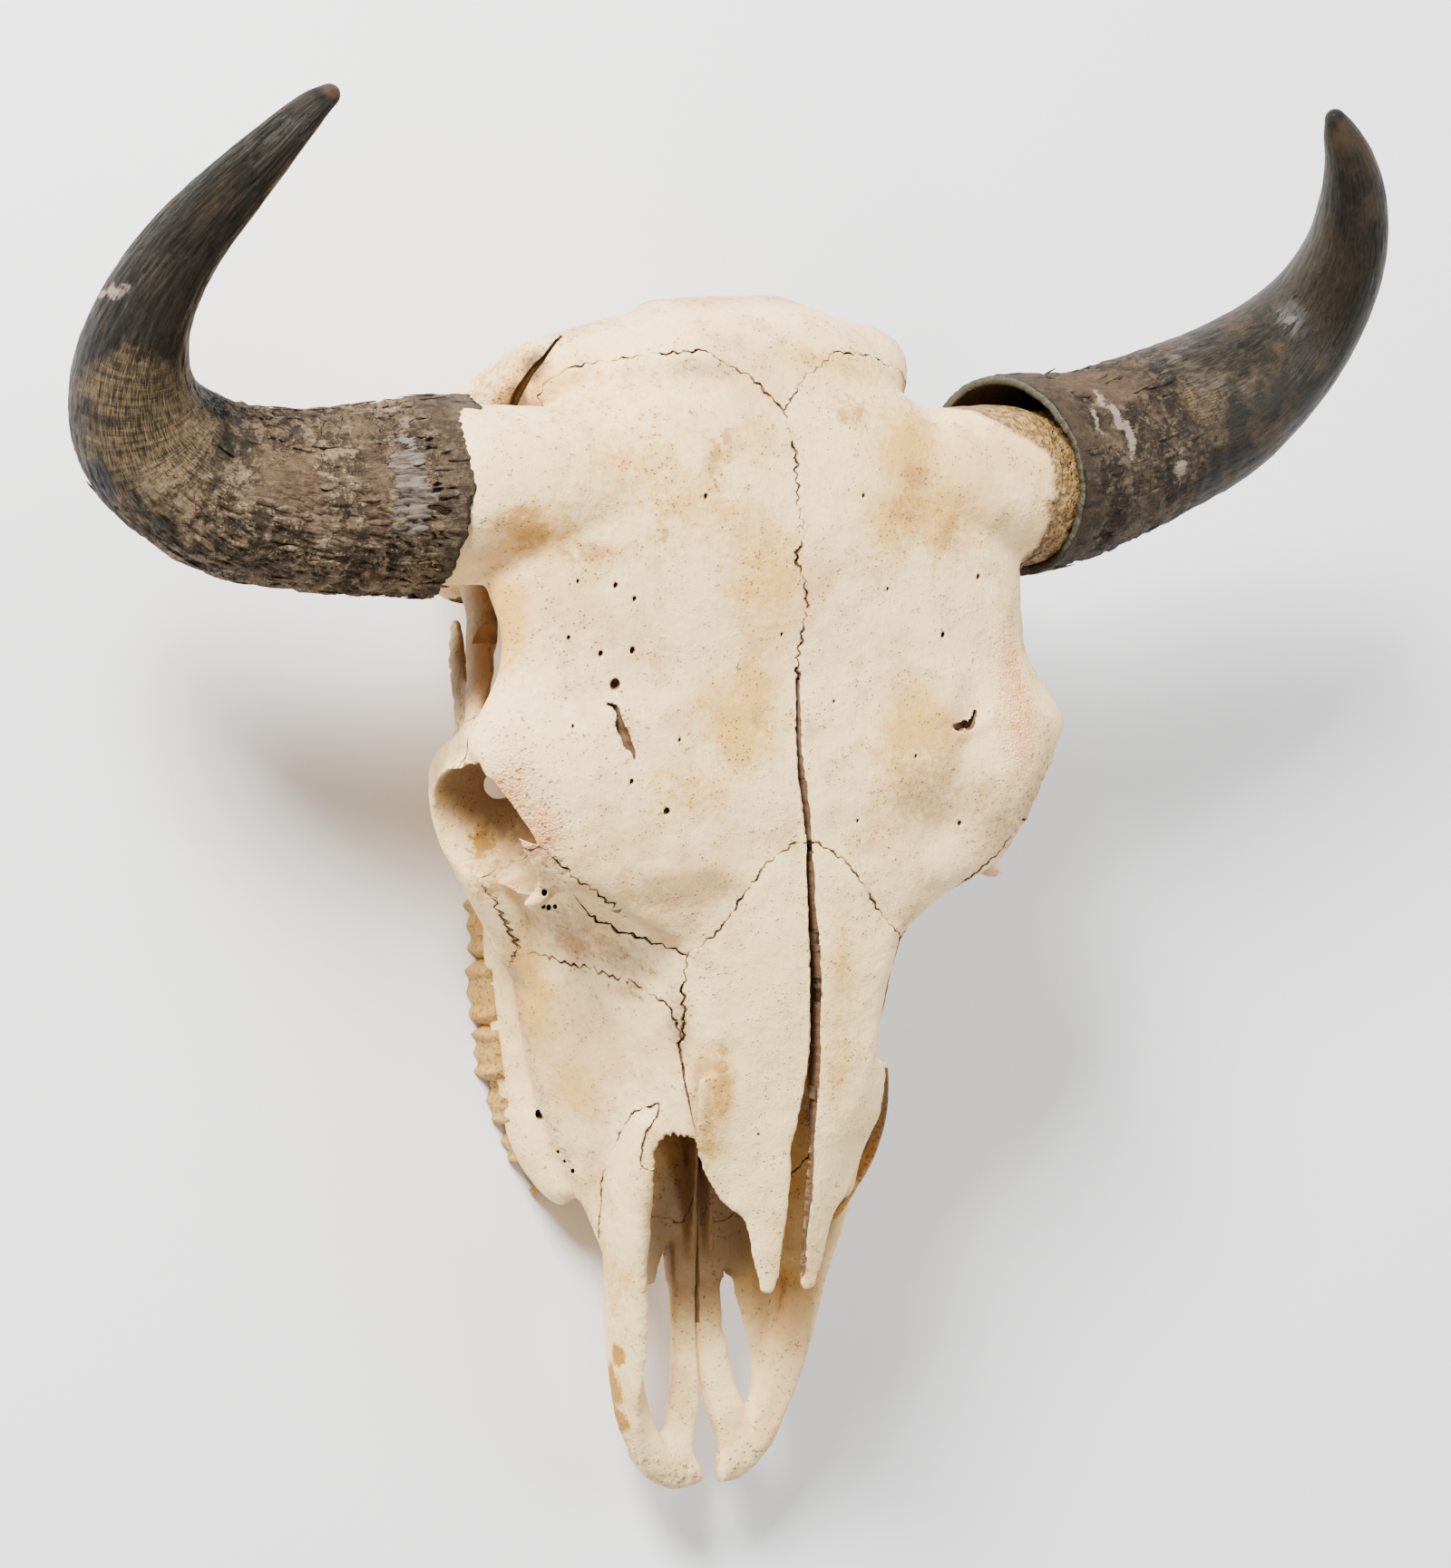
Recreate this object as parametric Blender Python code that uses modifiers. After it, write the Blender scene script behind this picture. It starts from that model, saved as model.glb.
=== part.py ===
"""A bison bull's skull without its lower jaw, resting on its molars and neck-side spurs.

Every form is drawn in millimetres in the frame of the forehead: x to the animal's left, y from the nose
to the poll, z out of the forehead, with the root of the nose at the origin. The bones are modelled whole,
made one skin, hollowed, and then parted along their sutures. At the end the skull is turned to its
resting pose on the floor.
"""
import math

import bmesh
import bpy
import numpy as np
from mathutils import Euler, Matrix, Vector

MM = 0.001
NAME = "buffalo_skull"

# Driving dimensions, millimetres and degrees.
REST_TILT = 3.8
MOLAR_LEVEL = -172.0
SUTURE_GAP = 0.3
SKIN_VOXEL = 3.2
SKIN_ROUNDS = 5
BONE_TRIANGLES = 4700
SHEATH_SIDES = 16
BROW_LEAN = 3.2
MUZZLE_SPREAD = 3.0
POLL_SKEW = 0.03
CORE_CLEARANCE = 0.3

# Forehead plate: place along y, half width, height of the border, of the top and of the underside,
# squareness.
FOREHEAD = (
    (-34, 65, -16, -4, -40, 3.0),
    (-22, 86, -17, -2, -46, 3.1),
    (-10, 112.5, -17, -1, -50, 3.3),
    (5, 125, -14, 0, -55, 3.5),
    (22, 138, -14, 2, -55, 3.7),
    (40, 150, -16, 3, -55, 3.8),
    (53, 156, -20, 3, -50, 3.8),
    (68, 149, -22, 3, -44, 3.6),
    (84, 139, -22, 3, -42, 3.5),
    (102, 136.5, -21, 4, -42, 3.4),
    (120, 139, -24, 5, -50, 3.2),
    (140, 141, -30, 6, -62, 3.0),
    (165, 138, -32, 6, -68, 2.8),
    (190, 116, -33, 3, -64, 2.6),
    (206, 83.5, -31, 0, -62, 2.5),
    (222, 72, -32, -4, -62, 2.5),
    (236, 61, -38, -11, -64, 2.4),
    (251, 36, -52, -36, -70, 2.2),
)

# Cross-sections along y, each a half outline from the middle of the top to the middle of the bottom.
BRAINCASE = {
    -10: ((0, -40), (50, -42), (62, -80), (50, -125), (0, -140)),
    40: ((0, -30), (52, -34), (58, -80), (44, -125), (0, -142)),
    90: ((0, -20), (60, -26), (64, -80), (44, -130), (0, -148)),
    140: ((0, -15), (66, -24), (70, -85), (50, -135), (0, -156)),
    185: ((0, -20), (76, -30), (80, -90), (60, -140), (0, -158)),
    214: ((0, -30), (80, -42), (88, -95), (62, -138), (0, -150)),
    230: ((0, -60), (58, -66), (66, -98), (44, -126), (0, -138)),
}
NUCHAL_PLATE = {
    184: ((0, -40), (70, -46), (104, -82), (116, -112), (84, -138), (0, -140)),
    200: ((0, -26), (78, -35), (104, -66), (118, -107), (90, -142), (0, -148)),
    215: ((0, -20), (78, -29), (104, -55), (110, -101), (82, -140), (0, -150)),
    227: ((0, -20), (79, -33), (99, -57), (91, -100), (60, -132), (0, -146)),
    236: ((0, -24), (70, -38), (86, -58), (76, -98), (48, -124), (0, -136)),
    245: ((0, -42), (40, -48), (48, -66), (42, -90), (28, -108), (0, -118)),
}
FACE = {
    46: ((0, -6), (58, -8), (92, -22), (98, -66), (72, -124), (30, -140), (0, -140)),
    0: ((0, -2), (48, -4), (86, -16), (104, -58), (92, -118), (50, -142), (0, -142)),
    -40: ((0, -3), (34, -5), (56, -13), (77, -58), (88, -112), (60, -146), (0, -144)),
    -80: ((0, -9), (30, -11), (46.5, -18), (65, -64), (81, -118), (56, -148), (0, -144)),
    -122: ((0, -16), (26, -19), (43, -30), (58, -74), (70, -122), (48, -145), (0, -138)),
    -155: ((0, -26), (22, -34), (41, -50), (52, -84), (56, -120), (40, -136), (0, -130)),
    -185: ((0, -84), (20, -87), (38, -91), (47, -98), (46, -115), (28, -121), (0, -121)),
    -197: ((0, -110), (14, -110.5), (26, -111), (36, -113), (34, -117), (22, -119), (0, -119)),
}
PALATE = {
    18: ((0, -132), (30, -132), (52, -136), (30, -141), (0, -140)),
    -60: ((0, -130), (30, -130), (56, -136), (30, -141), (0, -139)),
    -130: ((0, -124), (26, -124), (48, -132), (26, -137), (0, -134)),
    -172: ((0, -114), (20, -114), (36, -118), (20, -124), (0, -123)),
    -196: ((0, -112), (14, -112), (26, -116), (14, -120), (0, -119)),
}
NASAL_PASSAGE = {
    14: ((0, -20), (14, -24), (20, -50), (16, -90), (0, -100)),
    -20: ((0, -13), (24, -17), (36, -48), (32, -106), (0, -118)),
    -60: ((0, -14), (30, -19), (46, -48), (48, -104), (0, -124)),
    -110: ((0, -20), (30, -25), (48, -60), (50, -104), (0, -118)),
    -131: ((0, -16), (30, -22), (50.5, -46), (48.5, -102), (0, -114)),
    -150: ((0, -12), (30, -22), (50, -64), (46, -100), (0, -111)),
    -200: ((0, 10), (30, 10), (38, -40), (40, -99), (0, -112)),
    -300: ((0, 60), (40, 60), (60, 0), (50, -96), (0, -110)),
}

# Nasal bones: place along y, height at the crack and at the side, distance of the crack and side edges,
# thickness.
NASAL = (
    (-96, -11, -19, 2.6, 50, 6),
    (-112, -13.5, -23, 2.8, 49, 5),
    (-124, -15, -28, 3.0, 47, 4.5),
    (-134, -17, -32, 3.2, 43, 4),
    (-146, -19, -33, 3.4, 37, 4),
    (-156, -21, -32, 3.6, 31, 4),
    (-163, -22.5, -30, 3.8, 23.5, 4),
    (-176, -26, -31, 4.2, 20.5, 4),
    (-188, -29.5, -32, 5.2, 17, 3.6),
    (-197, -32, -33, 8.0, 13.5, 3.2),
)

# Limbs of bone: x, y, z of the middle, half across, half high. Both sides of the head carry one.
PAIRED_LIMBS = {
    "horn_root": ((50, 163, -34, 34, 34), (100, 164, -32, 36, 36), (138, 164, -33, 37.5, 36.5),
                  (150, 163.5, -34, 36.5, 36)),
    "orbit_tube": ((70, 46, -50, 34, 34), (98, 35, -52, 37, 37), (118, 21, -55, 35.5, 39.5),
                   (129.6, 13, -57, 34, 41.5)),
    "cheek": ((76, -52, -108, 10, 16), (88, -30, -106, 12, 18), (108, -3, -96, 13.5, 16),
              (123.5, 24, -94, 11, 12), (133, 44, -83, 7, 11), (131.5, 54, -64, 6.5, 12),
              (131, 57, -42, 9, 13)),
    "arch_inner": ((132, 58, -60, 5, 8), (124, 68, -73, 5, 6.5), (116.5, 84, -79.5, 6.5, 6),
                   (112, 100, -85, 8, 7), (106.8, 120, -92, 8, 8.5), (106, 145, -102, 14, 11),
                   (100, 165, -104, 22, 14), (84, 176, -100, 26, 18)),
    "arch_outer": ((120, 38, -90, 5, 7), (122.5, 56, -86, 5, 7), (120.5, 70, -88.5, 4.5, 6),
                   (118, 86, -96.5, 4.2, 5.5), (114.5, 101, -104, 4, 5), (111.5, 113, -110, 3, 4)),
    "spur": ((74, 206, -122, 19, 14), (71, 202, -150, 14, 11), (67, 195, -172, 10, 9),
             (65, 191, -192, 8, 7.5)),
    "wing": ((34, 112, -140, 6, 12), (30, 84, -148, 4, 15), (30, 56, -150, 4, 16), (34, 26, -144, 6, 16),
             (40, -4, -138, 10, 12)),
    "tooth_ridge": ((56, 15, -135, 10, 12), (60, 2, -143, 13, 14), (68, -20, -148, 14.5, 15),
                    (68.5, -60, -149, 14.5, 15), (66.5, -98, -149, 13.5, 15), (63, -124, -146, 14, 16),
                    (57, -143, -141, 12.5, 14), (51, -154, -134, 9.5, 10)),
    "muzzle_bar": ((55, -114, -59, 4, 9), (54.5, -140, -71, 5, 13), (52.5, -165, -85, 5.5, 17),
                   (48, -195, -97, 5.5, 18), (43.5, -228, -106, 5.5, 18), (38.5, -254, -113, 7, 13),
                   (28, -276, -117, 9, 8), (16, -285, -117, 9, 6), (6, -286, -117, 8, 5),
                   (1, -286, -117, 6, 4.5)),
    "muzzle_shelf": ((39, -166, -115, 10, 4), (37, -195, -117, 9.8, 3.5), (36, -222, -119, 8.4, 3.5),
                     (36, -242, -119, 7, 3.5), (33, -262, -117, 7, 4)),
    "palate_bar": ((7, -160, -119, 7, 4.5), (7, -185, -116, 7, 4.5), (6.5, -215, -117, 8, 4.5),
                   (8, -245, -117, 8.5, 4.5), (12, -266, -117, 9.5, 4.5), (16, -280, -116, 9, 4.5)),
}
BASE_LIMB = ((0, 240, -148, 16, 10), (0, 215, -156, 24, 12), (0, 185, -158, 22, 12),
             (0, 150, -154, 17, 12), (0, 110, -150, 14, 14), (0, 60, -142, 14, 18))

# Rounded masses: middle, half sizes, turn about the three axes.
PAIRED_MASSES = {
    "jaw_joint": ((92, 138, -118), (30, 20, 14), (0, 12, 0)),
    "ear_region": ((96, 176, -112), (27, 25, 29), (0, 0, 0)),
    "condyle": ((31, 225, -150), (20, 19, 27), (-28, 0, 22)),
    "ear_capsule": ((46, 168, -150), (13, 19, 17), (0, 0, 0)),
    "tear_knob": ((112, -3, -25), (7, 8, 8), (0, 0, 0)),
    "tear_lobe": ((118, -13.5, -33), (9, 4.5, 6), (0, 0, -20)),
}

# Hollows: x, y, z of the middle, half across, half high.
PAIRED_HOLLOWS = {
    "eye_socket": ((50, 58, -56, 8, 8), (78, 44, -53, 20, 20), (104, 30, -54, 29.5, 33),
                   (124, 18, -55.5, 32.5, 38.5), (168, -6, -61, 38, 44)),
    "eye_gap": ((114, 38, -62, 5, 5), (104.5, 38, -88, 7, 7), (92, 38, -120, 9, 9)),
    "socket_back": ((96, 40, -56, 14, 16), (100, 70, -60, 13, 18), (100, 100, -64, 16, 22)),
}
PALATE_GAPS = {
    -1: ((14.9, -177, -116, 1.2, 20), (18.5, -191, -116, 4.4, 20), (20.9, -207.6, -116, 6.4, 20),
         (22, -225, -116, 6.5, 20), (22.4, -236, -116, 6.2, 20), (22, -249, -116, 4.6, 20),
         (20.8, -259, -116, 1.6, 20)),
    1: ((14.5, -193, -116, 1.2, 20), (15.4, -200, -116, 2.4, 20), (17.8, -211, -116, 4.4, 20),
        (21.8, -229, -116, 6.8, 20), (23.6, -242, -116, 6.4, 20), (23.8, -253, -116, 3.4, 20),
        (23.3, -259, -116, 1.2, 20)),
}
# What only one side shows: on the right the curled edge of the crest and the bone that fills the mouth of the
# sheath, on the left a broader floor of the muzzle.
ONE_SIDED_LIMBS = {
    -1: {
        "crest_fold": ((100, 202, -94, 5, 8), (99, 214, -90, 5, 8), (91, 226, -86, 5, 7.5),
                       (77, 233, -82, 5, 6), (64, 235, -78, 4, 5)),
        "horn_collar": ((104, 163, -37, 37, 37), (126, 163, -40, 39.5, 39), (148, 163, -41, 39.5, 39),
                        (158, 162.4, -42.5, 39.5, 39)),
    },
    1: {
        "muzzle_web": ((30, -188, -116, 12, 3.5), (31, -205, -117, 11, 3.5), (33, -220, -118, 8, 3.5),
                       (35, -235, -118.5, 6, 3.5)),
        "palate_web": ((10, -225, -117, 7, 4), (11.5, -245, -117, 8, 4.5), (16, -262, -117, 10, 4.5),
                       (22, -270, -117, 9, 4.5)),
    },
}
BRAIN_OPENING = ((0, 180, -118, 16, 14), (0, 212, -124, 19, 18), (0, 262, -132, 21, 20))
INNER_NOSTRILS = ((0, 120, -156, 16, 12), (0, 80, -150, 20, 22), (0, 30, -140, 24, 18),
                  (0, -20, -120, 20, 20))

# The line between the two halves, from the poll to the nose: y, x and half the width of the crack. The
# dried bones have drawn apart along it.
MIDLINE = ((320, 0, 0.15), (194, 0.4, 0.15), (177, 2.5, 0.15), (153, 2.2, 0.15), (138, 3.5, 0.15),
           (129, -1.0, 0.15), (121, 2.5, 0.2), (84, 0, 0.25), (60, -1, 0.8), (46, -1.5, 1.2),
           (28, -0.5, 1.7), (15, 1.4, 1.6), (5, 2.2, 1.1), (-5, 2.4, 1.4), (-45, 4.5, 2.4),
           (-97, 5.6, 3.0), (-118, 3.4, 4.4), (-158, 1.2, 5.8), (-185, 0.6, 6.4), (-200, 0.5, 6.6),
           (-320, 0.5, 6.6))
MUZZLE_GAP = ((-320, 3.0, 5.5), (-289, 3.2, 5.6), (-280, 2.4, 7.8), (-269, 1.8, 6.6), (-256, 0.8, 3.2),
              (-245, -0.2, 1.9), (-230, -1.0, 1.5), (-205, -1.2, 1.1), (-186, -0.6, 0.5), (-150, 0, 0.15),
              (-100, 0, 0.15))

# Horn sheaths: x, y, z of the middle, half across, half high. The animal's left one has slipped out along
# its core.
SHEATH = {
    "right": ((-124, 162, -42, 44.4, 45), (-152, 162, -44, 44, 44.6), (-180, 161.5, -48, 43, 43.2),
              (-206, 161.8, -50, 41.2, 41.5), (-240, 166.5, -54, 39.6, 39.6),
              (-265, 178, -54, 35.6, 35.6), (-282, 193, -49, 31.6, 31.6), (-291.5, 211, -37, 26, 26),
              (-294, 229.5, -21, 21.4, 21.4), (-292.5, 246, -2, 18.4, 18.4), (-286, 263, 18, 15.8, 15.8),
              (-275.5, 279, 37, 13.2, 13.2), (-264, 294, 53, 10.2, 10.2), (-252.5, 307, 63, 7.2, 7.2),
              (-244.5, 313.5, 68, 4.4, 4.4)),
    "left": ((126, 167, -40, 47, 48), (157, 170, -40, 47, 48), (189, 174.5, -42, 45.5, 46),
             (230, 186.5, -44, 42.3, 42.8), (272, 203, -40, 38, 38.5), (303, 225.5, -29, 31.2, 31.2),
             (317, 248, -12, 25, 25), (316, 270, 10, 20.3, 20.3), (306, 291, 30, 16.2, 16.2),
             (292, 307, 46, 12, 12), (279, 318.5, 56, 8.2, 8.2), (271.5, 325.5, 61, 4.6, 4.6)),
}
CORE = {
    "right": ((-130, 163, -40, 37, 37), (-156, 162, -41.5, 35, 35), (-180, 160, -46, 32, 32),
              (-210, 162, -50, 27, 27), (-236, 168, -53, 20, 20), (-252, 174, -54, 10, 10)),
    "left": ((146, 163, -35, 37, 37), (156, 163, -35, 35.5, 35.5), (182, 168, -39, 34, 34),
             (215, 180, -43, 31, 31), (246, 192, -43, 26, 26), (268, 202, -41, 18, 18),
             (282, 210, -37, 8, 8)),
}
# The bases of the sheaths: a point and the way out along the horn. Inside, the room round the core.
SHEATH_BASE = {"right": ((-145.5, 161, -44), (-1, 0.24, -0.18)),
               "left": ((146.5, 170, -40), (1, 0.19, -0.22))}
SHEATH_ROOM = {
    "right": ((-112, 162, -41, 42, 41.5), (-148, 162, -42, 41.6, 41), (-163, 161.8, -44.5, 41.2, 40.6),
              (-173, 161.6, -46.5, 36, 36)),
    "left": ((118, 167, -40, 43, 44), (157, 170, -40, 42.5, 43.5), (189, 173.5, -42, 38.5, 39),
             (222, 182.5, -43.6, 32.5, 32.8), (240, 189.4, -43.2, 27.2, 27.2)),
}

# Upper teeth from the second premolar to the last molar: x and y of the middle, breadth, length, crown
# lobes, and how far the crown stops short of the floor.
TEETH = (
    (52, -146, 17, 17, 1, 1.6),
    (60.5, -129, 22, 20, 1, 1.2),
    (65.5, -109.5, 25, 22, 1, 0.8),
    (68.5, -87, 28, 28, 2, 0.0),
    (69, -59, 29, 32, 2, 0.0),
    (67, -28, 28, 33, 2, 0.0),
)
TOOTH_ROOT = -146.0

# Sutures, drawn on the right side as positive numbers and used on both. In plan: x and y.
NASAL_PLAN = ((-8, 4), (3.9, 4), (12, 1), (22, -6), (32, -18), (42, -31), (54.5, -41), (54, -55),
              (51, -72), (50.5, -90), (51, -104), (49.5, -122), (48.5, -124), (-8, -124))
NASAL_FREE_PLAN = ((-8, -123.5), (48.5, -123.5), (45, -134), (39.5, -146), (34, -156), (27, -163),
                   (24, -180), (21, -215), (-8, -215))
FRONTAL_PLAN = ((-8, 194), (0, 194), (4, 199), (14, 210.5), (24, 215), (33.5, 222), (53.5, 221.5),
                (72, 219.5), (85, 218), (94, 213), (99, 203), (106, 200), (170, 215), (170, 75),
                (170, 15), (124, 8), (119, 3), (110, -5.5), (96, -14.5), (77, -28.5), (54, -42),
                (-8, -42))
# In side view: y and z.
MUZZLE_SIDE = ((-108, -48), (-124, -56), (-136, -60), (-150, -45), (-200, -20), (-310, -20), (-310, -150),
               (-187, -150), (-184, -118), (-172, -111), (-157, -104), (-146, -98), (-135, -88),
               (-121, -74), (-112, -63))
TEAR_SIDE = ((10, 0), (-42, 0), (-98, -8), (-98, -22), (-88, -27), (-64, -30), (-54, -44), (-47, -65),
             (-43, -82), (-38, -97), (-16, -86), (-4, -86), (10, -70))
CHEEK_SIDE = ((-4, -86), (-16, -86), (-38, -98), (-46, -112), (-40, -124), (-16, -130), (18, -122),
              (58, -118), (122, -124), (122, -105), (109, -98.5), (84, -88), (70, -82), (63, -76),
              (66, -66), (66, -53), (40, -53), (40, -70), (10, -70))
HORN_PLAN = ((96, 100), (300, 100), (300, 300), (124, 300), (120, 197), (108, 188), (96, 186))
HORN_DEPTH = -81.0
BROW_PLAN = ((98, 38), (200, 38), (200, 78), (98, 78))
BROW_DEPTH = -53.0
FRONTAL_DEPTH = -45.0
MAXILLA_BACK = 12.0

MATERIALS = {
    "bone": ((0.72, 0.66, 0.54, 1.0), 0.72),
    "face_bone": ((0.70, 0.63, 0.50, 1.0), 0.74),
    "muzzle_bone": ((0.73, 0.67, 0.55, 1.0), 0.72),
    "horn": ((0.055, 0.045, 0.038, 1.0), 0.45),
}


def curve_reader(knots):
    """A smooth curve through (place, value) knots, as a function of place."""
    knots = sorted(knots)
    places = np.array([k[0] for k in knots], float)
    values = np.array([k[1] for k in knots], float)
    slopes = np.gradient(values, places)

    def read(place):
        place = float(np.clip(place, places[0], places[-1]))
        i = int(np.clip(np.searchsorted(places, place) - 1, 0, len(places) - 2))
        span = places[i + 1] - places[i]
        t = (place - places[i]) / span
        ends = values[i] * (1 + 2 * t) * (1 - t) ** 2 + values[i + 1] * t * t * (3 - 2 * t)
        return float(ends + span * (slopes[i] * t * (1 - t) ** 2 - slopes[i + 1] * t * t * (1 - t)))

    return read


def resampled(rows, count):
    """Rows of numbers joined by smooth curves and read at count even steps."""
    readers = [curve_reader(list(enumerate(column))) for column in zip(*rows)]
    return [[read(step) for read in readers] for step in np.linspace(0, len(rows) - 1, count)]


def closed_curve(points, count):
    """count points on a smooth closed curve through the given ones."""
    size = len(points)
    points = np.array(points, float)
    curve = []
    for place in np.arange(count) * size / count:
        i = int(place)
        t = place - i
        a, b, c, d = (points[(i + k) % size] for k in (-1, 0, 1, 2))
        square = (2 * a - 5 * b + 4 * c - d) * t * t
        cube = (3 * b - a - 3 * c + d) * t ** 3
        curve.append(0.5 * (2 * b + (c - a) * t + square + cube))
    return curve


def skin(name, rings):
    """A closed solid through rings of the same number of points, given in millimetres."""
    mesh = bmesh.new()
    rows = [[mesh.verts.new([float(v) * MM for v in point]) for point in ring] for ring in rings]
    for near, far in zip(rows, rows[1:]):
        for i in range(len(near)):
            j = (i + 1) % len(near)
            mesh.faces.new((near[i], near[j], far[j], far[i]))
    mesh.faces.new(rows[0][::-1])
    mesh.faces.new(rows[-1])
    bmesh.ops.recalc_face_normals(mesh, faces=mesh.faces)
    bmesh.ops.triangulate(mesh, faces=mesh.faces)
    return placed(name, mesh)


def placed(name, mesh):
    """The drawn mesh as an object of the scene."""
    data = bpy.data.meshes.new(name)
    mesh.to_mesh(data)
    mesh.free()
    made = bpy.data.objects.new(name, data)
    bpy.context.scene.collection.objects.link(made)
    return made


def limb(name, stations, side=1, up=(0, 0, 1), sides=16, steps=None, grow=0.0):
    """A bent tube through stations of x, y, z, half across and half high, its section square to its path."""
    steps = steps or 4 * len(stations)
    rows = resampled(stations, steps)
    middles = [Vector((row[0] * side, row[1], row[2])) for row in rows]
    rings = []
    for i, row in enumerate(rows):
        ahead = (middles[min(i + 1, steps - 1)] - middles[max(i - 1, 0)]).normalized()
        across = Vector(up).cross(ahead).normalized()
        high = ahead.cross(across)
        turns = [2 * math.pi * k / sides for k in range(sides)]
        rings.append([
            middles[i] + across * math.cos(t) * (row[3] + grow) + high * math.sin(t) * (row[4] + grow)
            for t in turns])
    return skin(name, rings)


def section_body(name, stations, sides=48, step=8.0):
    """A body through half cross-sections along y, mirrored across the middle plane."""
    places = sorted(stations)
    count = len(stations[places[0]])
    readers = [[curve_reader([(y, stations[y][k][j]) for y in places]) for j in (0, 1)]
               for k in range(count)]
    rings = []
    for y in np.linspace(places[0], places[-1], int((places[-1] - places[0]) / step) + 2):
        half = [(read_x(y), read_z(y)) for read_x, read_z in readers]
        whole = half + [(-x, z) for x, z in half[-2:0:-1]]
        rings.append([(x, y, z) for x, z in closed_curve(whole, sides)])
    return skin(name, rings)


def forehead_plate(sides=40, step=7.0):
    """The broad plate of the forehead with its rounded borders."""
    columns = list(zip(*FOREHEAD))
    readers = [curve_reader(list(zip(columns[0], column))) for column in columns[1:]]
    rings = []
    for y in np.linspace(columns[0][0], columns[0][-1], int((columns[0][-1] - columns[0][0]) / step) + 2):
        half_width, border, top, underside, squareness = (read(y) for read in readers)
        ring = []
        for k in range(2 * sides):
            across = math.cos(math.pi * k / sides)
            across = math.copysign(abs(across) ** 0.7, across)
            rise = (1 - abs(across) ** squareness) ** (1 / 1.8)
            level = top if k < sides else underside
            ring.append((across * half_width, y, border + (level - border) * rise))
        rings.append(ring)
    return skin("forehead", rings)


def nasal_bone(side, steps=22, sides=7):
    """One nasal bone in front of the face: an arched plate that ends in a free tip."""
    rows = resampled(NASAL, steps)
    rings = []
    for y, inner_z, outer_z, inner_x, outer_x, thickness in rows:
        top = []
        low = []
        for k in range(sides):
            t = k / (sides - 1)
            x = inner_x + (outer_x - inner_x) * t
            z = inner_z + (outer_z - inner_z) * t ** 1.9
            lean = 0.55 * t * thickness
            deep = thickness * (1.25 - 0.35 * t) * (0.45 if k in (0, sides - 1) else 1.0)
            top.append((x * side, y, z - (0.2 * thickness if k in (0, sides - 1) else 0)))
            low.append(((x - lean) * side, y, z - deep))
        rings.append(top + low[::-1])
    return skin("nasal", rings)


def mass(name, middle, half_sizes, turn, side):
    """A rounded mass from Blender's sphere."""
    mesh = bmesh.new()
    bmesh.ops.create_uvsphere(mesh, u_segments=20, v_segments=10, radius=MM)
    turned = Euler((math.radians(turn[0]), math.radians(turn[1]) * side,
                    math.radians(turn[2]) * side)).to_matrix()
    place = Matrix.Translation((middle[0] * side * MM, middle[1] * MM, middle[2] * MM))
    mesh.transform(place @ turned.to_4x4() @ Matrix.Diagonal((*half_sizes, 1.0)))
    return placed(name, mesh)


def prism(name, outline, low, high, side=1, axis="z", grow=0.0):
    """A block with this outline from low to high: (x, y) along z, or (y, z) along x; grow widens it."""
    points = np.array(outline, float)
    if grow:
        ahead = np.roll(points, -1, axis=0) - points
        normal = np.stack([ahead[:, 1], -ahead[:, 0]], axis=1)
        normal /= np.linalg.norm(normal, axis=1)[:, None]
        turned = np.sum(points[:, 0] * np.roll(points[:, 1], -1) - np.roll(points[:, 0], -1) * points[:, 1])
        mitre = normal + np.roll(normal, 1, axis=0)
        mitre /= np.maximum(np.sum(mitre * normal, axis=1), 0.5)[:, None]
        points = points + mitre * grow * math.copysign(1, turned)
    if axis == "z":
        levels = (low - grow, high + grow)
        return skin(name, [[(p[0] * side, p[1], level) for p in points] for level in levels])
    return skin(name, [[(level * side, p[0], p[1]) for p in points] for level in (low - grow, high + grow)])


def applied(body):
    """The body with its modifiers made real."""
    graph = bpy.context.evaluated_depsgraph_get()
    data = bpy.data.meshes.new_from_object(body.evaluated_get(graph), depsgraph=graph)
    body.modifiers.clear()
    old = body.data
    body.data = data
    bpy.data.meshes.remove(old)
    return body


def joined(body, others, operation="UNION"):
    """The body joined with other solids, or with them taken away or left of it. The others are used up."""
    operands = bpy.data.collections.new("operands")
    bpy.context.scene.collection.children.link(operands)
    for other in others:
        bpy.context.scene.collection.objects.unlink(other)
        operands.objects.link(other)
    work = body.modifiers.new("join", "BOOLEAN")
    work.operation = operation
    work.solver = "MANIFOLD"
    work.operand_type = "COLLECTION"
    work.collection = operands
    applied(body)
    for other in list(operands.objects):
        bpy.data.objects.remove(other)
    bpy.data.collections.remove(operands)
    return body


def softened(body, voxel, rounds):
    """The joined forms made one even skin with blended joints."""
    even = body.modifiers.new("skin", "REMESH")
    even.mode = "VOXEL"
    even.voxel_size = voxel * MM
    smooth = body.modifiers.new("smooth", "SMOOTH")
    smooth.factor = 0.5
    smooth.iterations = rounds
    return applied(body)


def copied(body, name):
    """A second object with the same form."""
    twin = bpy.data.objects.new(name, body.data.copy())
    bpy.context.scene.collection.objects.link(twin)
    return twin


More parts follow.
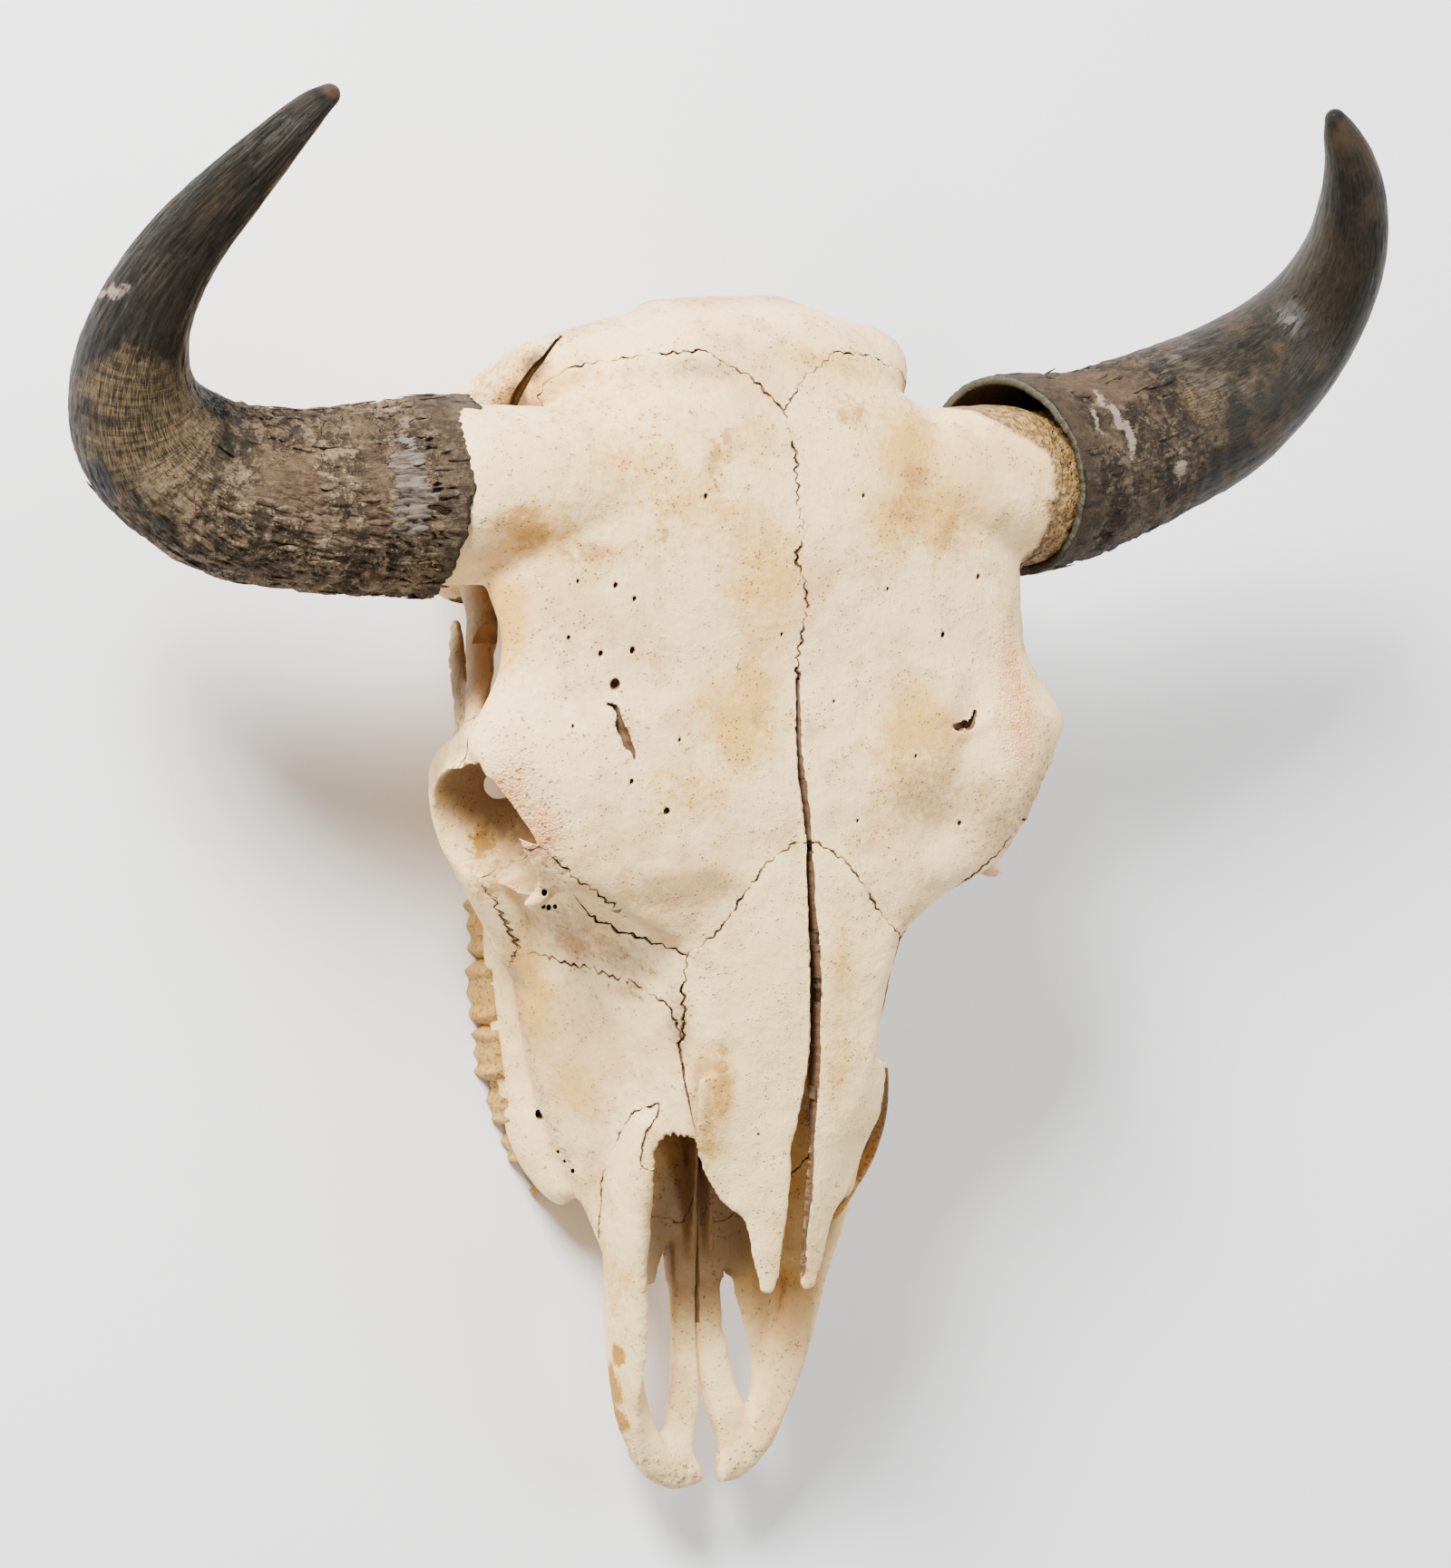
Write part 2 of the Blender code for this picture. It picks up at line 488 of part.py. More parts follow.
def largest_shell(body):
    """Only the largest closed surface of the body, with its tiny edges closed up."""
    mesh = bmesh.new()
    mesh.from_mesh(body.data)
    bmesh.ops.triangulate(mesh, faces=mesh.faces)
    left = set(mesh.faces)
    best = (0.0, None)
    while left:
        reached = {left.pop()}
        front = list(reached)
        while front:
            for edge in front.pop().edges:
                for face in edge.link_faces:
                    if face in left:
                        left.discard(face)
                        reached.add(face)
                        front.append(face)
        volume = 0.0
        for face in reached:
            a, b, c = (vert.co for vert in face.verts)
            volume += a.dot(b.cross(c)) / 6
        if volume > best[0]:
            best = (volume, reached)
    spare = [face for face in mesh.faces if face not in best[1]]
    bmesh.ops.delete(mesh, geom=spare, context="FACES")
    mesh.to_mesh(body.data)
    mesh.free()
    return body


def skull_skin():
    """All the bone in one body, hollowed and brought to a modest number of faces."""
    body = forehead_plate()
    forms = [section_body("braincase", BRAINCASE), section_body("nuchal_plate", NUCHAL_PLATE)]
    forms += [section_body("face", FACE), section_body("palate", PALATE, sides=32)]
    forms.append(limb("skull_base", BASE_LIMB))
    for side in (1, -1):
        for name, stations in PAIRED_LIMBS.items():
            up = (0, 1, 0) if name == "spur" else (0, 0, 1)
            forms.append(limb(name, stations, side, up))
        for name, stations in ONE_SIDED_LIMBS[side].items():
            forms.append(limb(name, stations, side))
        for name, (middle, half_sizes, turn) in PAIRED_MASSES.items():
            forms.append(mass(name, middle, half_sizes, turn, side))
    joined(body, forms)
    softened(body, SKIN_VOXEL, SKIN_ROUNDS)
    hollows = [section_body("nasal_passage", NASAL_PASSAGE, sides=32)]
    hollows += [limb("brain_opening", BRAIN_OPENING), limb("inner_nostrils", INNER_NOSTRILS)]
    for side in (1, -1):
        for name, stations in PAIRED_HOLLOWS.items():
            hollows.append(limb(name, stations, side, (0, 1, 0) if name == "eye_gap" else (0, 0, 1)))
        hollows.append(limb("palate_gap", PALATE_GAPS[side], side))
    joined(body, hollows, "DIFFERENCE")
    joined(body, [nasal_bone(side) for side in (1, -1)])
    softened(body, 0.75 * SKIN_VOXEL, 2)
    under = [(y, floor_under(y)) for y in (-300, 400)] + [(400, -400), (-300, -400)]
    joined(body, [prism("floor", under, -400, 400, axis="x")], "DIFFERENCE")
    fewer = body.modifiers.new("fewer", "DECIMATE")
    fewer.ratio = BONE_TRIANGLES / (2 * len(body.data.polygons))
    applied(body)
    return largest_shell(uneven(body))


def parted(body, regions, name, keep_all=False):
    """The part of the body inside the regions as a bone of its own; the rest loses the suture's gap."""
    bone = copied(body, name)
    joined(bone, joined_regions(regions, 0.0), "INTERSECT")
    joined(body, joined_regions(regions, SUTURE_GAP), "DIFFERENCE")
    return bone if keep_all else largest_shell(bone)


def joined_regions(regions, grow):
    """The blocks of a region as one solid in a list, each grown by this much."""
    blocks = [prism("region", grow=grow, **region) for region in regions]
    return [joined(blocks[0], blocks[1:]) if blocks[1:] else blocks[0]]


def uneven(body):
    """The head's unevenness: the brow leans to the left, the left muzzle has spread, the poll is askew."""
    lean = curve_reader(((-300, 1.0), (-10, 0.7), (20, 0.3), (42, 0.5), (60, 1.0), (80, 0.8), (104, 0.9),
                         (125, 0.5), (150, 0), (300, 0)))
    spread = curve_reader(((-320, 0), (-245, -0.1), (-200, 0.4), (-165, 0.9), (-115, 0.9), (-88, 0.2),
                           (-30, 0.5), (10, 0), (300, 0)))
    for vert in body.data.vertices:
        x, y = vert.co.x / MM, vert.co.y / MM
        vert.co.x += BROW_LEAN * MM * min(1.0, (x / 150) ** 2) * lean(y)
        vert.co.x += MUZZLE_SPREAD * MM * min(max(x / 40, 0.0), 1.0) * spread(y)
        vert.co.y += POLL_SKEW * vert.co.x * min(max((y - 200) / 30, 0.0), 1.0)
    return body


def half_space(line, side, top=80.0, bottom=-220.0):
    """Everything to one side of a cracked middle line, from y, x and half width."""
    edge = [(x * side + half, y) for y, x, half in sorted(line)]
    return dict(outline=edge + [(400, edge[-1][1]), (400, edge[0][1])], low=bottom, high=top, side=side)


def paired(bones, line, body):
    """Two bones taken out of the body together and parted along their middle line."""
    both = None
    for side, name, regions in bones:
        piece_regions = [dict(region, side=side) for region in regions]
        both = (both or []) + piece_regions
    whole = parted(body, both, "pair", keep_all=True)
    made = {}
    for side, name, regions in bones:
        bone = copied(whole, name)
        joined(bone, joined_regions([half_space(line, side)], 0.0), "INTERSECT")
        made[name] = largest_shell(bone)
    bpy.data.objects.remove(whole)
    return made


def parted_bones(body):
    """Every bone taken out of the body, which keeps the rest as the braincase."""
    sides = ((-1, "right"), (1, "left"))
    nodes = {}
    nasal = [dict(outline=NASAL_PLAN, low=-32, high=40), dict(outline=NASAL_FREE_PLAN, low=-37, high=40)]
    nodes.update(paired([(side, "nasal_" + word, nasal) for side, word in sides], MIDLINE, body))
    for side, word in sides:
        name = "premaxilla_" + word
        muzzle = dict(outline=MUZZLE_SIDE, low=SUTURE_GAP / 2, high=90, side=side, axis="x")
        nodes[name] = parted(body, [muzzle], name)
        joined(nodes[name], joined_regions([half_space(MUZZLE_GAP, side)], 0.0), "INTERSECT")
        largest_shell(nodes[name])
    brow = [dict(outline=FRONTAL_PLAN, low=FRONTAL_DEPTH, high=60),
            dict(outline=HORN_PLAN, low=HORN_DEPTH, high=60),
            dict(outline=BROW_PLAN, low=BROW_DEPTH, high=0)]
    nodes.update(paired([(side, "frontal_" + word, brow) for side, word in sides], MIDLINE, body))
    for side, word in sides:
        for bone, outline, inner in (("lacrimal_", TEAR_SIDE, 46), ("zygomatic_", CHEEK_SIDE, 80)):
            region = dict(outline=outline, low=inner, high=180, side=side, axis="x")
            nodes[bone + word] = parted(body, [region], bone + word)
    for side, word in sides:
        near = SUTURE_GAP / 2
        half = ((near, MAXILLA_BACK), (200, MAXILLA_BACK), (200, -320), (near, -320))
        region = dict(outline=half, low=-220, high=60, side=side)
        nodes["maxilla_" + word] = parted(body, [region], "maxilla_" + word)
    body.name = "cranium"
    nodes["cranium"] = largest_shell(body)
    return nodes


def floor_under(y):
    """Height of the floor in the forehead's frame at this place along the skull."""
    return MOLAR_LEVEL - math.tan(math.radians(REST_TILT)) * (y + 20)


def tooth(x, y, breadth, length, lobes, short, side):
    """One cheek tooth: a ribbed crown whose end lies on the floor, sunk into the jaw by its root."""
    count = 8 * lobes + 2
    outline = []
    for k in range(count):
        t = 2 * math.pi * k / count
        along = math.copysign(abs(math.sin(t)) ** 0.4, math.sin(t)) * length / 2
        across = math.copysign(abs(math.cos(t)) ** 0.45, math.cos(t)) * breadth / 2
        if math.cos(t) > 0:
            across += 1.3 * math.cos(2 * math.pi * (lobes + 1) * along / length)
        else:
            across += 1.5 * (math.cos(2 * math.pi * lobes * along / length))
        outline.append((across, along))
    rings = []
    for share, swell in ((0.0, 0.94), (0.5, 1.0), (1.0, 0.96)):
        ring = []
        for across, along in outline:
            place_y = y + along * swell * (0.96 if share < 0.2 else 1.0)
            floor = floor_under(place_y) + short
            ring.append(((x + across * swell) * side, place_y, TOOTH_ROOT + (floor - TOOTH_ROOT) * share))
        rings.append(ring)
    return skin("tooth", rings)


def horn_sheath(word, grow=0.0):
    """A horn sheath with a rounded tip, its slanting base open over the horn core."""
    stations = list(SHEATH[word])
    before = Vector(stations[-2][:3])
    last = Vector(stations[-1][:3])
    tip = last + (last - before).normalized() * 3.4
    stations.append((*tip, 1.4, 1.4))
    sheath = limb("horn_sheath_" + word, stations, sides=SHEATH_SIDES, steps=23, grow=grow)
    core = limb("core_room", CORE[word], sides=SHEATH_SIDES, steps=9, grow=CORE_CLEARANCE - grow / 2)
    near, end = (Vector(station[:3]) for station in CORE[word][-2:])
    ahead = (end - near).normalized()
    reach = CORE[word][-1][3] + 0.5
    tip_room = limb("tip_room", ((*(end - ahead), reach, reach), (*(end + ahead), reach, reach)), steps=2)
    room = limb("base_room", SHEATH_ROOM[word], sides=SHEATH_SIDES, steps=6, grow=-grow)
    point, way = (Vector(v) for v in SHEATH_BASE[word])
    start = point - way.normalized() * 60
    stop = point - way.normalized() * grow
    base_cut = limb("base_cut", ((*start, 90, 90), (*stop, 90, 90)), sides=12, steps=2)
    joined(sheath, [joined(core, [room, tip_room]), base_cut], "DIFFERENCE")
    return largest_shell(sheath)


def dressed(body, material):
    """The body with its material and flat faces."""
    body.data.materials.clear()
    body.data.materials.append(material)
    for face in body.data.polygons:
        face.use_smooth = False
        face.material_index = 0
    return body


def make_materials():
    """One Principled material for each slot."""
    made = {}
    for name, (colour, roughness) in MATERIALS.items():
        material = bpy.data.materials.new(name)
        material.use_nodes = True
        shader = material.node_tree.nodes["Principled BSDF"]
        shader.inputs["Base Color"].default_value = colour
        shader.inputs["Roughness"].default_value = roughness
        made[name] = material
    return made


def make_nodes():
    """Every bone and horn sheath as a named solid in the forehead's frame."""
    nodes = parted_bones(skull_skin())
    for side, word in ((-1, "right"), (1, "left")):
        jaw = nodes["maxilla_" + word]
        joined(jaw, [tooth(*sizes, side) for sizes in TEETH])
        largest_shell(jaw)
        brow = nodes["frontal_" + word]
        joined(brow, [limb("core", CORE[word], 1, sides=SHEATH_SIDES, steps=9)])
        joined(brow, [horn_sheath(word, SUTURE_GAP)], "DIFFERENCE")
        largest_shell(brow)
        nodes["horn_sheath_" + word] = horn_sheath(word)
    return nodes


def rest_on_floor(nodes):
    """The skull turned to its resting pose, its lowest point on the floor and its box over the origin."""
    turn = Matrix.Rotation(math.radians(REST_TILT), 4, "X")
    for node in nodes.values():
        node.data.transform(turn)
    points = np.array([vert.co for node in nodes.values() for vert in node.data.vertices])
    low = points.min(axis=0)
    high = points.max(axis=0)
    shift = Matrix.Translation((-(low[0] + high[0]) / 2, -(low[1] + high[1]) / 2, -low[2]))
    for node in nodes.values():
        node.data.transform(shift)


def build():
    """Clear the scene and make the skull."""
    for old in list(bpy.data.objects):
        bpy.data.objects.remove(old)
    nodes = make_nodes()
    rest_on_floor(nodes)
    materials = make_materials()
    collection = bpy.data.collections.new(NAME)
    bpy.context.scene.collection.children.link(collection)
    for name, node in nodes.items():
        slot = "bone"
        if name.startswith("horn"):
            slot = "horn"
        elif name.startswith(("maxilla", "lacrimal", "zygomatic")):
            slot = "face_bone"
        elif name.startswith(("nasal", "premaxilla")):
            slot = "muzzle_bone"
        node.name = name
        node.data.name = name
        dressed(node, materials[slot])
        bpy.context.scene.collection.objects.unlink(node)
        collection.objects.link(node)


if __name__ == "__main__":
    build()
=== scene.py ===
"""The finished skull of a bison bull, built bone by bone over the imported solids, with its two horn sheaths.

Forms are drawn in millimetres in the frame of the forehead: x to the animal's left, y from the nose to the
poll, z out of the forehead, with the root of the nose at the origin. The last step lays each piece down as it
rests.
"""
import math
import random

import bmesh
import bpy
import numpy as np
from bpy.props import FloatProperty, FloatVectorProperty, PointerProperty
from mathutils import Euler, Matrix, Vector, noise
from mathutils.bvhtree import BVHTree


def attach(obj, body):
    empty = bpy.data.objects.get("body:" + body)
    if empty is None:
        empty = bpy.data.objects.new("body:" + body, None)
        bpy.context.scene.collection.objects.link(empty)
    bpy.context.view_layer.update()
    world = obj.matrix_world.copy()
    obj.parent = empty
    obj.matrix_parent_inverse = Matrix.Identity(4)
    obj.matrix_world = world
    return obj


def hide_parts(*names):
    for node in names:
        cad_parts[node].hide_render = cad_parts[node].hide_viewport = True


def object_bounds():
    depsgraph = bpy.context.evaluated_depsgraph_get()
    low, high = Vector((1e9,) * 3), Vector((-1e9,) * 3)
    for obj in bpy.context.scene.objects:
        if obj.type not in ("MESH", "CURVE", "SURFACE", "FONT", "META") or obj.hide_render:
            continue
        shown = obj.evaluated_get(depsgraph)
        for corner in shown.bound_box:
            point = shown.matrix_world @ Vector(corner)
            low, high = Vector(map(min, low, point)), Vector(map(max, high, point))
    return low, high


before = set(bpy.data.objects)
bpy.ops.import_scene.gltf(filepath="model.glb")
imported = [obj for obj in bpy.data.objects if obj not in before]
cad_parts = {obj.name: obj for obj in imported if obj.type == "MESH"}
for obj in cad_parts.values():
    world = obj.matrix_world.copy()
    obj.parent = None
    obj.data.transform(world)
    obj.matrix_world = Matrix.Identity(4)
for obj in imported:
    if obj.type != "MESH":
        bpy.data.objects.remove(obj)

CAD_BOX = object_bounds()

bl_info = {
    "name": "Bison skull",
    "version": (1, 0, 0),
    "blender": (4, 5, 0),
    "location": "View3D > Sidebar > Skull",
    "description": "Builds the bones, teeth and horn sheaths of a resting bison skull",
    "category": "Add Mesh",
}

MM = 0.001
PER_METRE = 1000.0
REST_TILT = 3.8
REST_SHIFT = (-12.213, -19.945, 172.975)
MOLAR_LEVEL = -172.0
BROW_LEAN = 3.2
MUZZLE_SPREAD = 3.0
POLL_SKEW = 0.03
CORE_CLEARANCE = 0.3
BOX_MARGIN = 0.02
SIDES = ((-1, "right"), (1, "left"))
# Beyond the skull on every side, above the forehead, before the nose, then the ways down and to the camera.
FAR = 400
ABOVE = 60
NOSE_END = -300
DOWN = (0, 0, -1)
VIEW_WAY = (-0.515, 0, 0.857)
# The two skins' cells and rounds of smoothing: a coarse one for the joined forms, then the finished bone.
COARSE_CELLS = 2.1
COARSE_ROUNDS = 12
FINE_SMOOTHING = 11.5
# Material slots of the bones. On the sheaths the second is the inside and the third the lip.
# On a bone the second slot, the crevice, paints the cut walls of sutures, slits and folds dark: painted
# shade.
PLAIN, CREVICE, THIRD, CORE_SLOT = range(4)

# Forehead plate: place along y, half width, height of the border, of the top and of the underside,
# squareness.
FOREHEAD = (
    (-34, 65, -16, -4, -40, 3.0),
    (-22, 86, -17, -2, -46, 3.1),
    (-10, 112.5, -17, -1, -50, 3.3),
    (5, 125, -14, 0, -55, 3.5),
    (22, 138, -14, 2, -55, 3.7),
    (40, 150, -16, 3, -55, 3.8),
    (53, 156, -20, 3, -50, 3.8),
    (68, 149, -22, 3, -44, 3.6),
    (84, 139, -22, 3, -42, 3.5),
    (102, 136.5, -21, 4, -42, 3.4),
    (120, 139, -24, 5, -50, 3.2),
    (140, 141, -30, 6, -62, 3.0),
    (165, 138, -32, 6, -68, 2.8),
    (190, 116, -33, 3, -64, 2.6),
    (206, 83.5, -31, 0, -62, 2.5),
    (222, 72, -32, -4, -62, 2.5),
    (236, 61, -38, -11, -64, 2.4),
    (251, 36, -52, -36, -70, 2.2),
)

# Cross-sections along y, each a half outline from the middle of the top to the middle of the bottom.
BRAINCASE = {
    -10: ((0, -40), (50, -42), (62, -80), (50, -125), (0, -140)),
    40: ((0, -30), (52, -34), (58, -80), (44, -125), (0, -142)),
    90: ((0, -20), (60, -26), (64, -80), (44, -130), (0, -148)),
    140: ((0, -15), (66, -24), (70, -85), (50, -135), (0, -156)),
    185: ((0, -20), (76, -30), (80, -90), (60, -140), (0, -158)),
    214: ((0, -30), (80, -42), (88, -95), (62, -138), (0, -150)),
    230: ((0, -60), (58, -66), (66, -98), (44, -126), (0, -138)),
}
NUCHAL_PLATE = {
    184: ((0, -40), (70, -46), (104, -82), (116, -112), (84, -138), (0, -140)),
    200: ((0, -26), (78, -35), (104, -66), (118, -107), (90, -142), (0, -148)),
    215: ((0, -20), (78, -29), (104, -55), (110, -101), (82, -140), (0, -150)),
    227: ((0, -20), (79, -33), (99, -57), (91, -100), (60, -132), (0, -146)),
    236: ((0, -24), (70, -38), (86, -58), (76, -98), (48, -124), (0, -136)),
    245: ((0, -42), (40, -48), (48, -66), (42, -90), (28, -108), (0, -118)),
}
FACE = {
    46: ((0, -6), (58, -8), (92, -22), (98, -66), (72, -124), (30, -140), (0, -140)),
    0: ((0, -2), (48, -4), (86, -16), (104, -58), (92, -118), (50, -142), (0, -142)),
    -40: ((0, -3), (34, -5), (56, -13), (77, -58), (88, -112), (60, -146), (0, -144)),
    -80: ((0, -9), (30, -11), (46.5, -18), (65, -64), (81, -118), (56, -148), (0, -144)),
    -122: ((0, -16), (26, -19), (43, -30), (58, -74), (70, -122), (48, -145), (0, -138)),
    -155: ((0, -26), (22, -34), (41, -50), (52, -84), (56, -120), (40, -136), (0, -130)),
    -185: ((0, -84), (20, -87), (38, -91), (47, -98), (46, -115), (28, -121), (0, -121)),
    -197: ((0, -110), (14, -110.5), (26, -111), (36, -113), (34, -117), (22, -119), (0, -119)),
}
PALATE = {
    18: ((0, -132), (30, -132), (52, -136), (30, -141), (0, -140)),
    -60: ((0, -130), (30, -130), (56, -136), (30, -141), (0, -139)),
    -130: ((0, -124), (26, -124), (48, -132), (26, -137), (0, -134)),
    -172: ((0, -114), (20, -114), (36, -118), (20, -124), (0, -123)),
    -196: ((0, -112), (14, -112), (26, -116), (14, -120), (0, -119)),
}
NASAL_PASSAGE = {
    14: ((0, -20), (14, -24), (20, -50), (16, -90), (0, -100)),
    -20: ((0, -13), (24, -17), (36, -48), (32, -106), (0, -118)),
    -60: ((0, -14), (30, -19), (46, -48), (48, -104), (0, -124)),
    -110: ((0, -20), (30, -25), (48, -60), (50, -104), (0, -118)),
    -131: ((0, -16), (30, -22), (50.5, -46), (48.5, -102), (0, -114)),
    -150: ((0, -12), (30, -22), (50, -64), (46, -100), (0, -111)),
    -200: ((0, 10), (30, 10), (38, -40), (40, -99), (0, -112)),
    -300: ((0, 60), (40, 60), (60, 0), (50, -96), (0, -110)),
}

# Nasal bones: place along y, height at the crack and at the side, distance of the crack and side edges,
# thickness.
NASAL = (
    (-96, -11, -19, 2.6, 50, 6),
    (-112, -13.5, -23, 2.8, 49, 5),
    (-124, -15, -28, 3.0, 47, 4.5),
    (-134, -17, -32, 3.2, 43, 4),
    (-146, -19, -33, 3.4, 37, 4),
    (-156, -21, -32, 3.6, 31, 4),
    (-163, -22.5, -30, 3.8, 23.5, 4),
    (-176, -26, -31, 4.2, 20.5, 4),
    (-188, -29.5, -32, 5.2, 17, 3.6),
    (-197, -32, -33, 8.0, 13.5, 3.2),
)

# Limbs of bone: x, y, z of the middle, half across, half high. Both sides of the head carry one.
PAIRED_LIMBS = {
    "horn_root": ((50, 163, -34, 34, 34), (100, 164, -32, 36, 36), (138, 164, -33, 37.5, 36.5),
                  (150, 163.5, -34, 36.5, 36)),
    "orbit_tube": ((70, 46, -50, 34, 34), (98, 35, -52, 37, 37), (118, 21, -55, 35.5, 39.5),
                   (129.6, 13, -57, 34, 41.5)),
    "cheek": ((76, -52, -108, 10, 16), (88, -30, -106, 12, 18), (108, -3, -96, 13.5, 16),
              (123.5, 24, -94, 11, 12), (133, 44, -83, 7, 11), (131.5, 54, -64, 6.5, 12),
              (131, 57, -42, 9, 13)),
    "arch_inner": ((132, 58, -60, 5, 8), (124, 68, -73, 5, 6.5), (116.5, 84, -79.5, 6.5, 6),
                   (112, 100, -85, 8, 7), (106.8, 120, -92, 8, 8.5), (106, 145, -102, 14, 11),
                   (100, 165, -104, 22, 14), (84, 176, -100, 26, 18)),
    "arch_outer": ((120, 38, -90, 5, 7), (122.5, 56, -86, 5, 7), (120.5, 70, -88.5, 4.5, 6),
                   (118, 86, -96.5, 4.2, 5.5), (114.5, 101, -104, 4, 5), (111.5, 113, -110, 3, 4)),
    "spur": ((74, 206, -122, 19, 14), (71, 202, -150, 14, 11), (67, 195, -172, 10, 9),
             (65, 191, -192, 8, 7.5)),
    "wing": ((34, 112, -140, 6, 12), (30, 84, -148, 4, 15), (30, 56, -150, 4, 16), (34, 26, -144, 6, 16),
             (40, -4, -138, 10, 12)),
    "tooth_ridge": ((56, 15, -135, 10, 12), (60, 2, -143, 13, 14), (68, -20, -148, 14.5, 15),
                    (68.5, -60, -149, 14.5, 15), (66.5, -98, -149, 13.5, 15), (63, -124, -146, 14, 16),
                    (57, -143, -141, 12.5, 14), (51, -154, -134, 9.5, 10)),
    "muzzle_bar": ((55, -114, -59, 4, 9), (54.5, -140, -71, 5, 13), (52.5, -165, -85, 5.5, 17),
                   (48, -195, -97, 5.5, 18), (43.5, -228, -106, 5.5, 18), (38.5, -254, -113, 7, 13),
                   (28, -276, -117, 9, 8), (16, -285, -117, 9, 6), (6, -286, -117, 8, 5),
                   (1, -286, -117, 6, 4.5)),
    "muzzle_shelf": ((39, -166, -115, 10, 4), (37, -195, -117, 9.8, 3.5), (36, -222, -119, 8.4, 3.5),
                     (36, -242, -119, 7, 3.5), (33, -262, -117, 7, 4)),
    "palate_bar": ((7, -160, -119, 7, 4.5), (7, -185, -116, 7, 4.5), (6.5, -215, -117, 8, 4.5),
                   (8, -245, -117, 8.5, 4.5), (12, -266, -117, 9.5, 4.5), (16, -280, -116, 9, 4.5)),
}
BASE_LIMB = ((0, 240, -148, 16, 10), (0, 215, -156, 24, 12), (0, 185, -158, 22, 12),
             (0, 150, -154, 17, 12), (0, 110, -150, 14, 14), (0, 60, -142, 14, 18))

# Rounded masses: middle, half sizes, turn about the three axes.
PAIRED_MASSES = {
    "jaw_joint": ((92, 138, -118), (30, 20, 14), (0, 12, 0)),
    "ear_region": ((96, 176, -112), (27, 25, 29), (0, 0, 0)),
    "condyle": ((31, 225, -150), (20, 19, 27), (-28, 0, 22)),
    "ear_capsule": ((46, 168, -150), (13, 19, 17), (0, 0, 0)),
    "tear_knob": ((112, -3, -25), (7, 8, 8), (0, 0, 0)),
    "tear_lobe": ((118, -13.5, -33), (9, 4.5, 6), (0, 0, -20)),
}

# Hollows: x, y, z of the middle, half across, half high.
PAIRED_HOLLOWS = {
    "eye_socket": ((50, 58, -56, 8, 8), (78, 44, -53, 20, 20), (104, 30, -54, 29.5, 33),
                   (124, 18, -55.5, 32.5, 38.5), (168, -6, -61, 38, 44)),
    "eye_gap": ((114, 38, -62, 5, 5), (104.5, 38, -88, 7, 7), (92, 38, -120, 9, 9)),
    "socket_back": ((96, 40, -56, 14, 16), (100, 70, -60, 13, 18), (100, 100, -64, 16, 22)),
}
PALATE_GAPS = {
    -1: ((14.9, -177, -116, 1.2, 20), (18.5, -191, -116, 4.4, 20), (20.9, -207.6, -116, 6.4, 20),
         (22, -225, -116, 6.5, 20), (22.4, -236, -116, 6.2, 20), (22, -249, -116, 4.6, 20),
         (20.8, -259, -116, 1.6, 20)),
    1: ((14.5, -193, -116, 1.2, 20), (15.4, -200, -116, 2.4, 20), (17.8, -211, -116, 4.4, 20),
        (21.8, -229, -116, 6.8, 20), (23.6, -242, -116, 6.4, 20), (23.8, -253, -116, 3.4, 20),
        (23.3, -259, -116, 1.2, 20)),
}
# What only one side shows: on the right the crest's curled edge and the bone in the mouth of the sheath, on
# the left a broader floor of the muzzle.
ONE_SIDED_LIMBS = {
    -1: {
        "crest_fold": ((100, 202, -94, 5, 8), (99, 214, -90, 5, 8), (91, 226, -86, 5, 7.5),
                       (77, 233, -82, 5, 6), (64, 235, -78, 4, 5)),
        "horn_collar": ((104, 163, -37, 37, 37), (126, 163, -40, 39.5, 39), (148, 163, -41, 39.5, 39),
                        (158, 162.4, -42.5, 39.5, 39)),
    },
    1: {
        "muzzle_web": ((30, -188, -116, 12, 3.5), (31, -205, -117, 11, 3.5), (33, -220, -118, 8, 3.5),
                       (35, -235, -118.5, 6, 3.5)),
        "palate_web": ((10, -225, -117, 7, 4), (11.5, -245, -117, 8, 4.5), (16, -262, -117, 10, 4.5),
                       (22, -270, -117, 9, 4.5)),
    },
}
# Thin limbs that are added when the nose has been hollowed.
LATE_LIMBS = {
    "vomer": ((3, -40, -104, 1.6, 14), (3.4, -100, -106, 1.6, 11), (4, -150, -109, 1.8, 7),
              (5, -186, -113, 2.4, 4)),
    "scroll": ((34, -20, -70, 2, 22), (34, -60, -72, 2, 22), (33, -100, -78, 2, 16), (34, -128, -84, 2, 6)),
}
BRAIN_OPENING = ((0, 180, -118, 16, 14), (0, 212, -124, 19, 18), (0, 262, -132, 21, 20))
INNER_NOSTRILS = ((0, 120, -156, 16, 12), (0, 80, -150, 20, 22), (0, 30, -140, 24, 18),
                  (0, -20, -120, 20, 20))

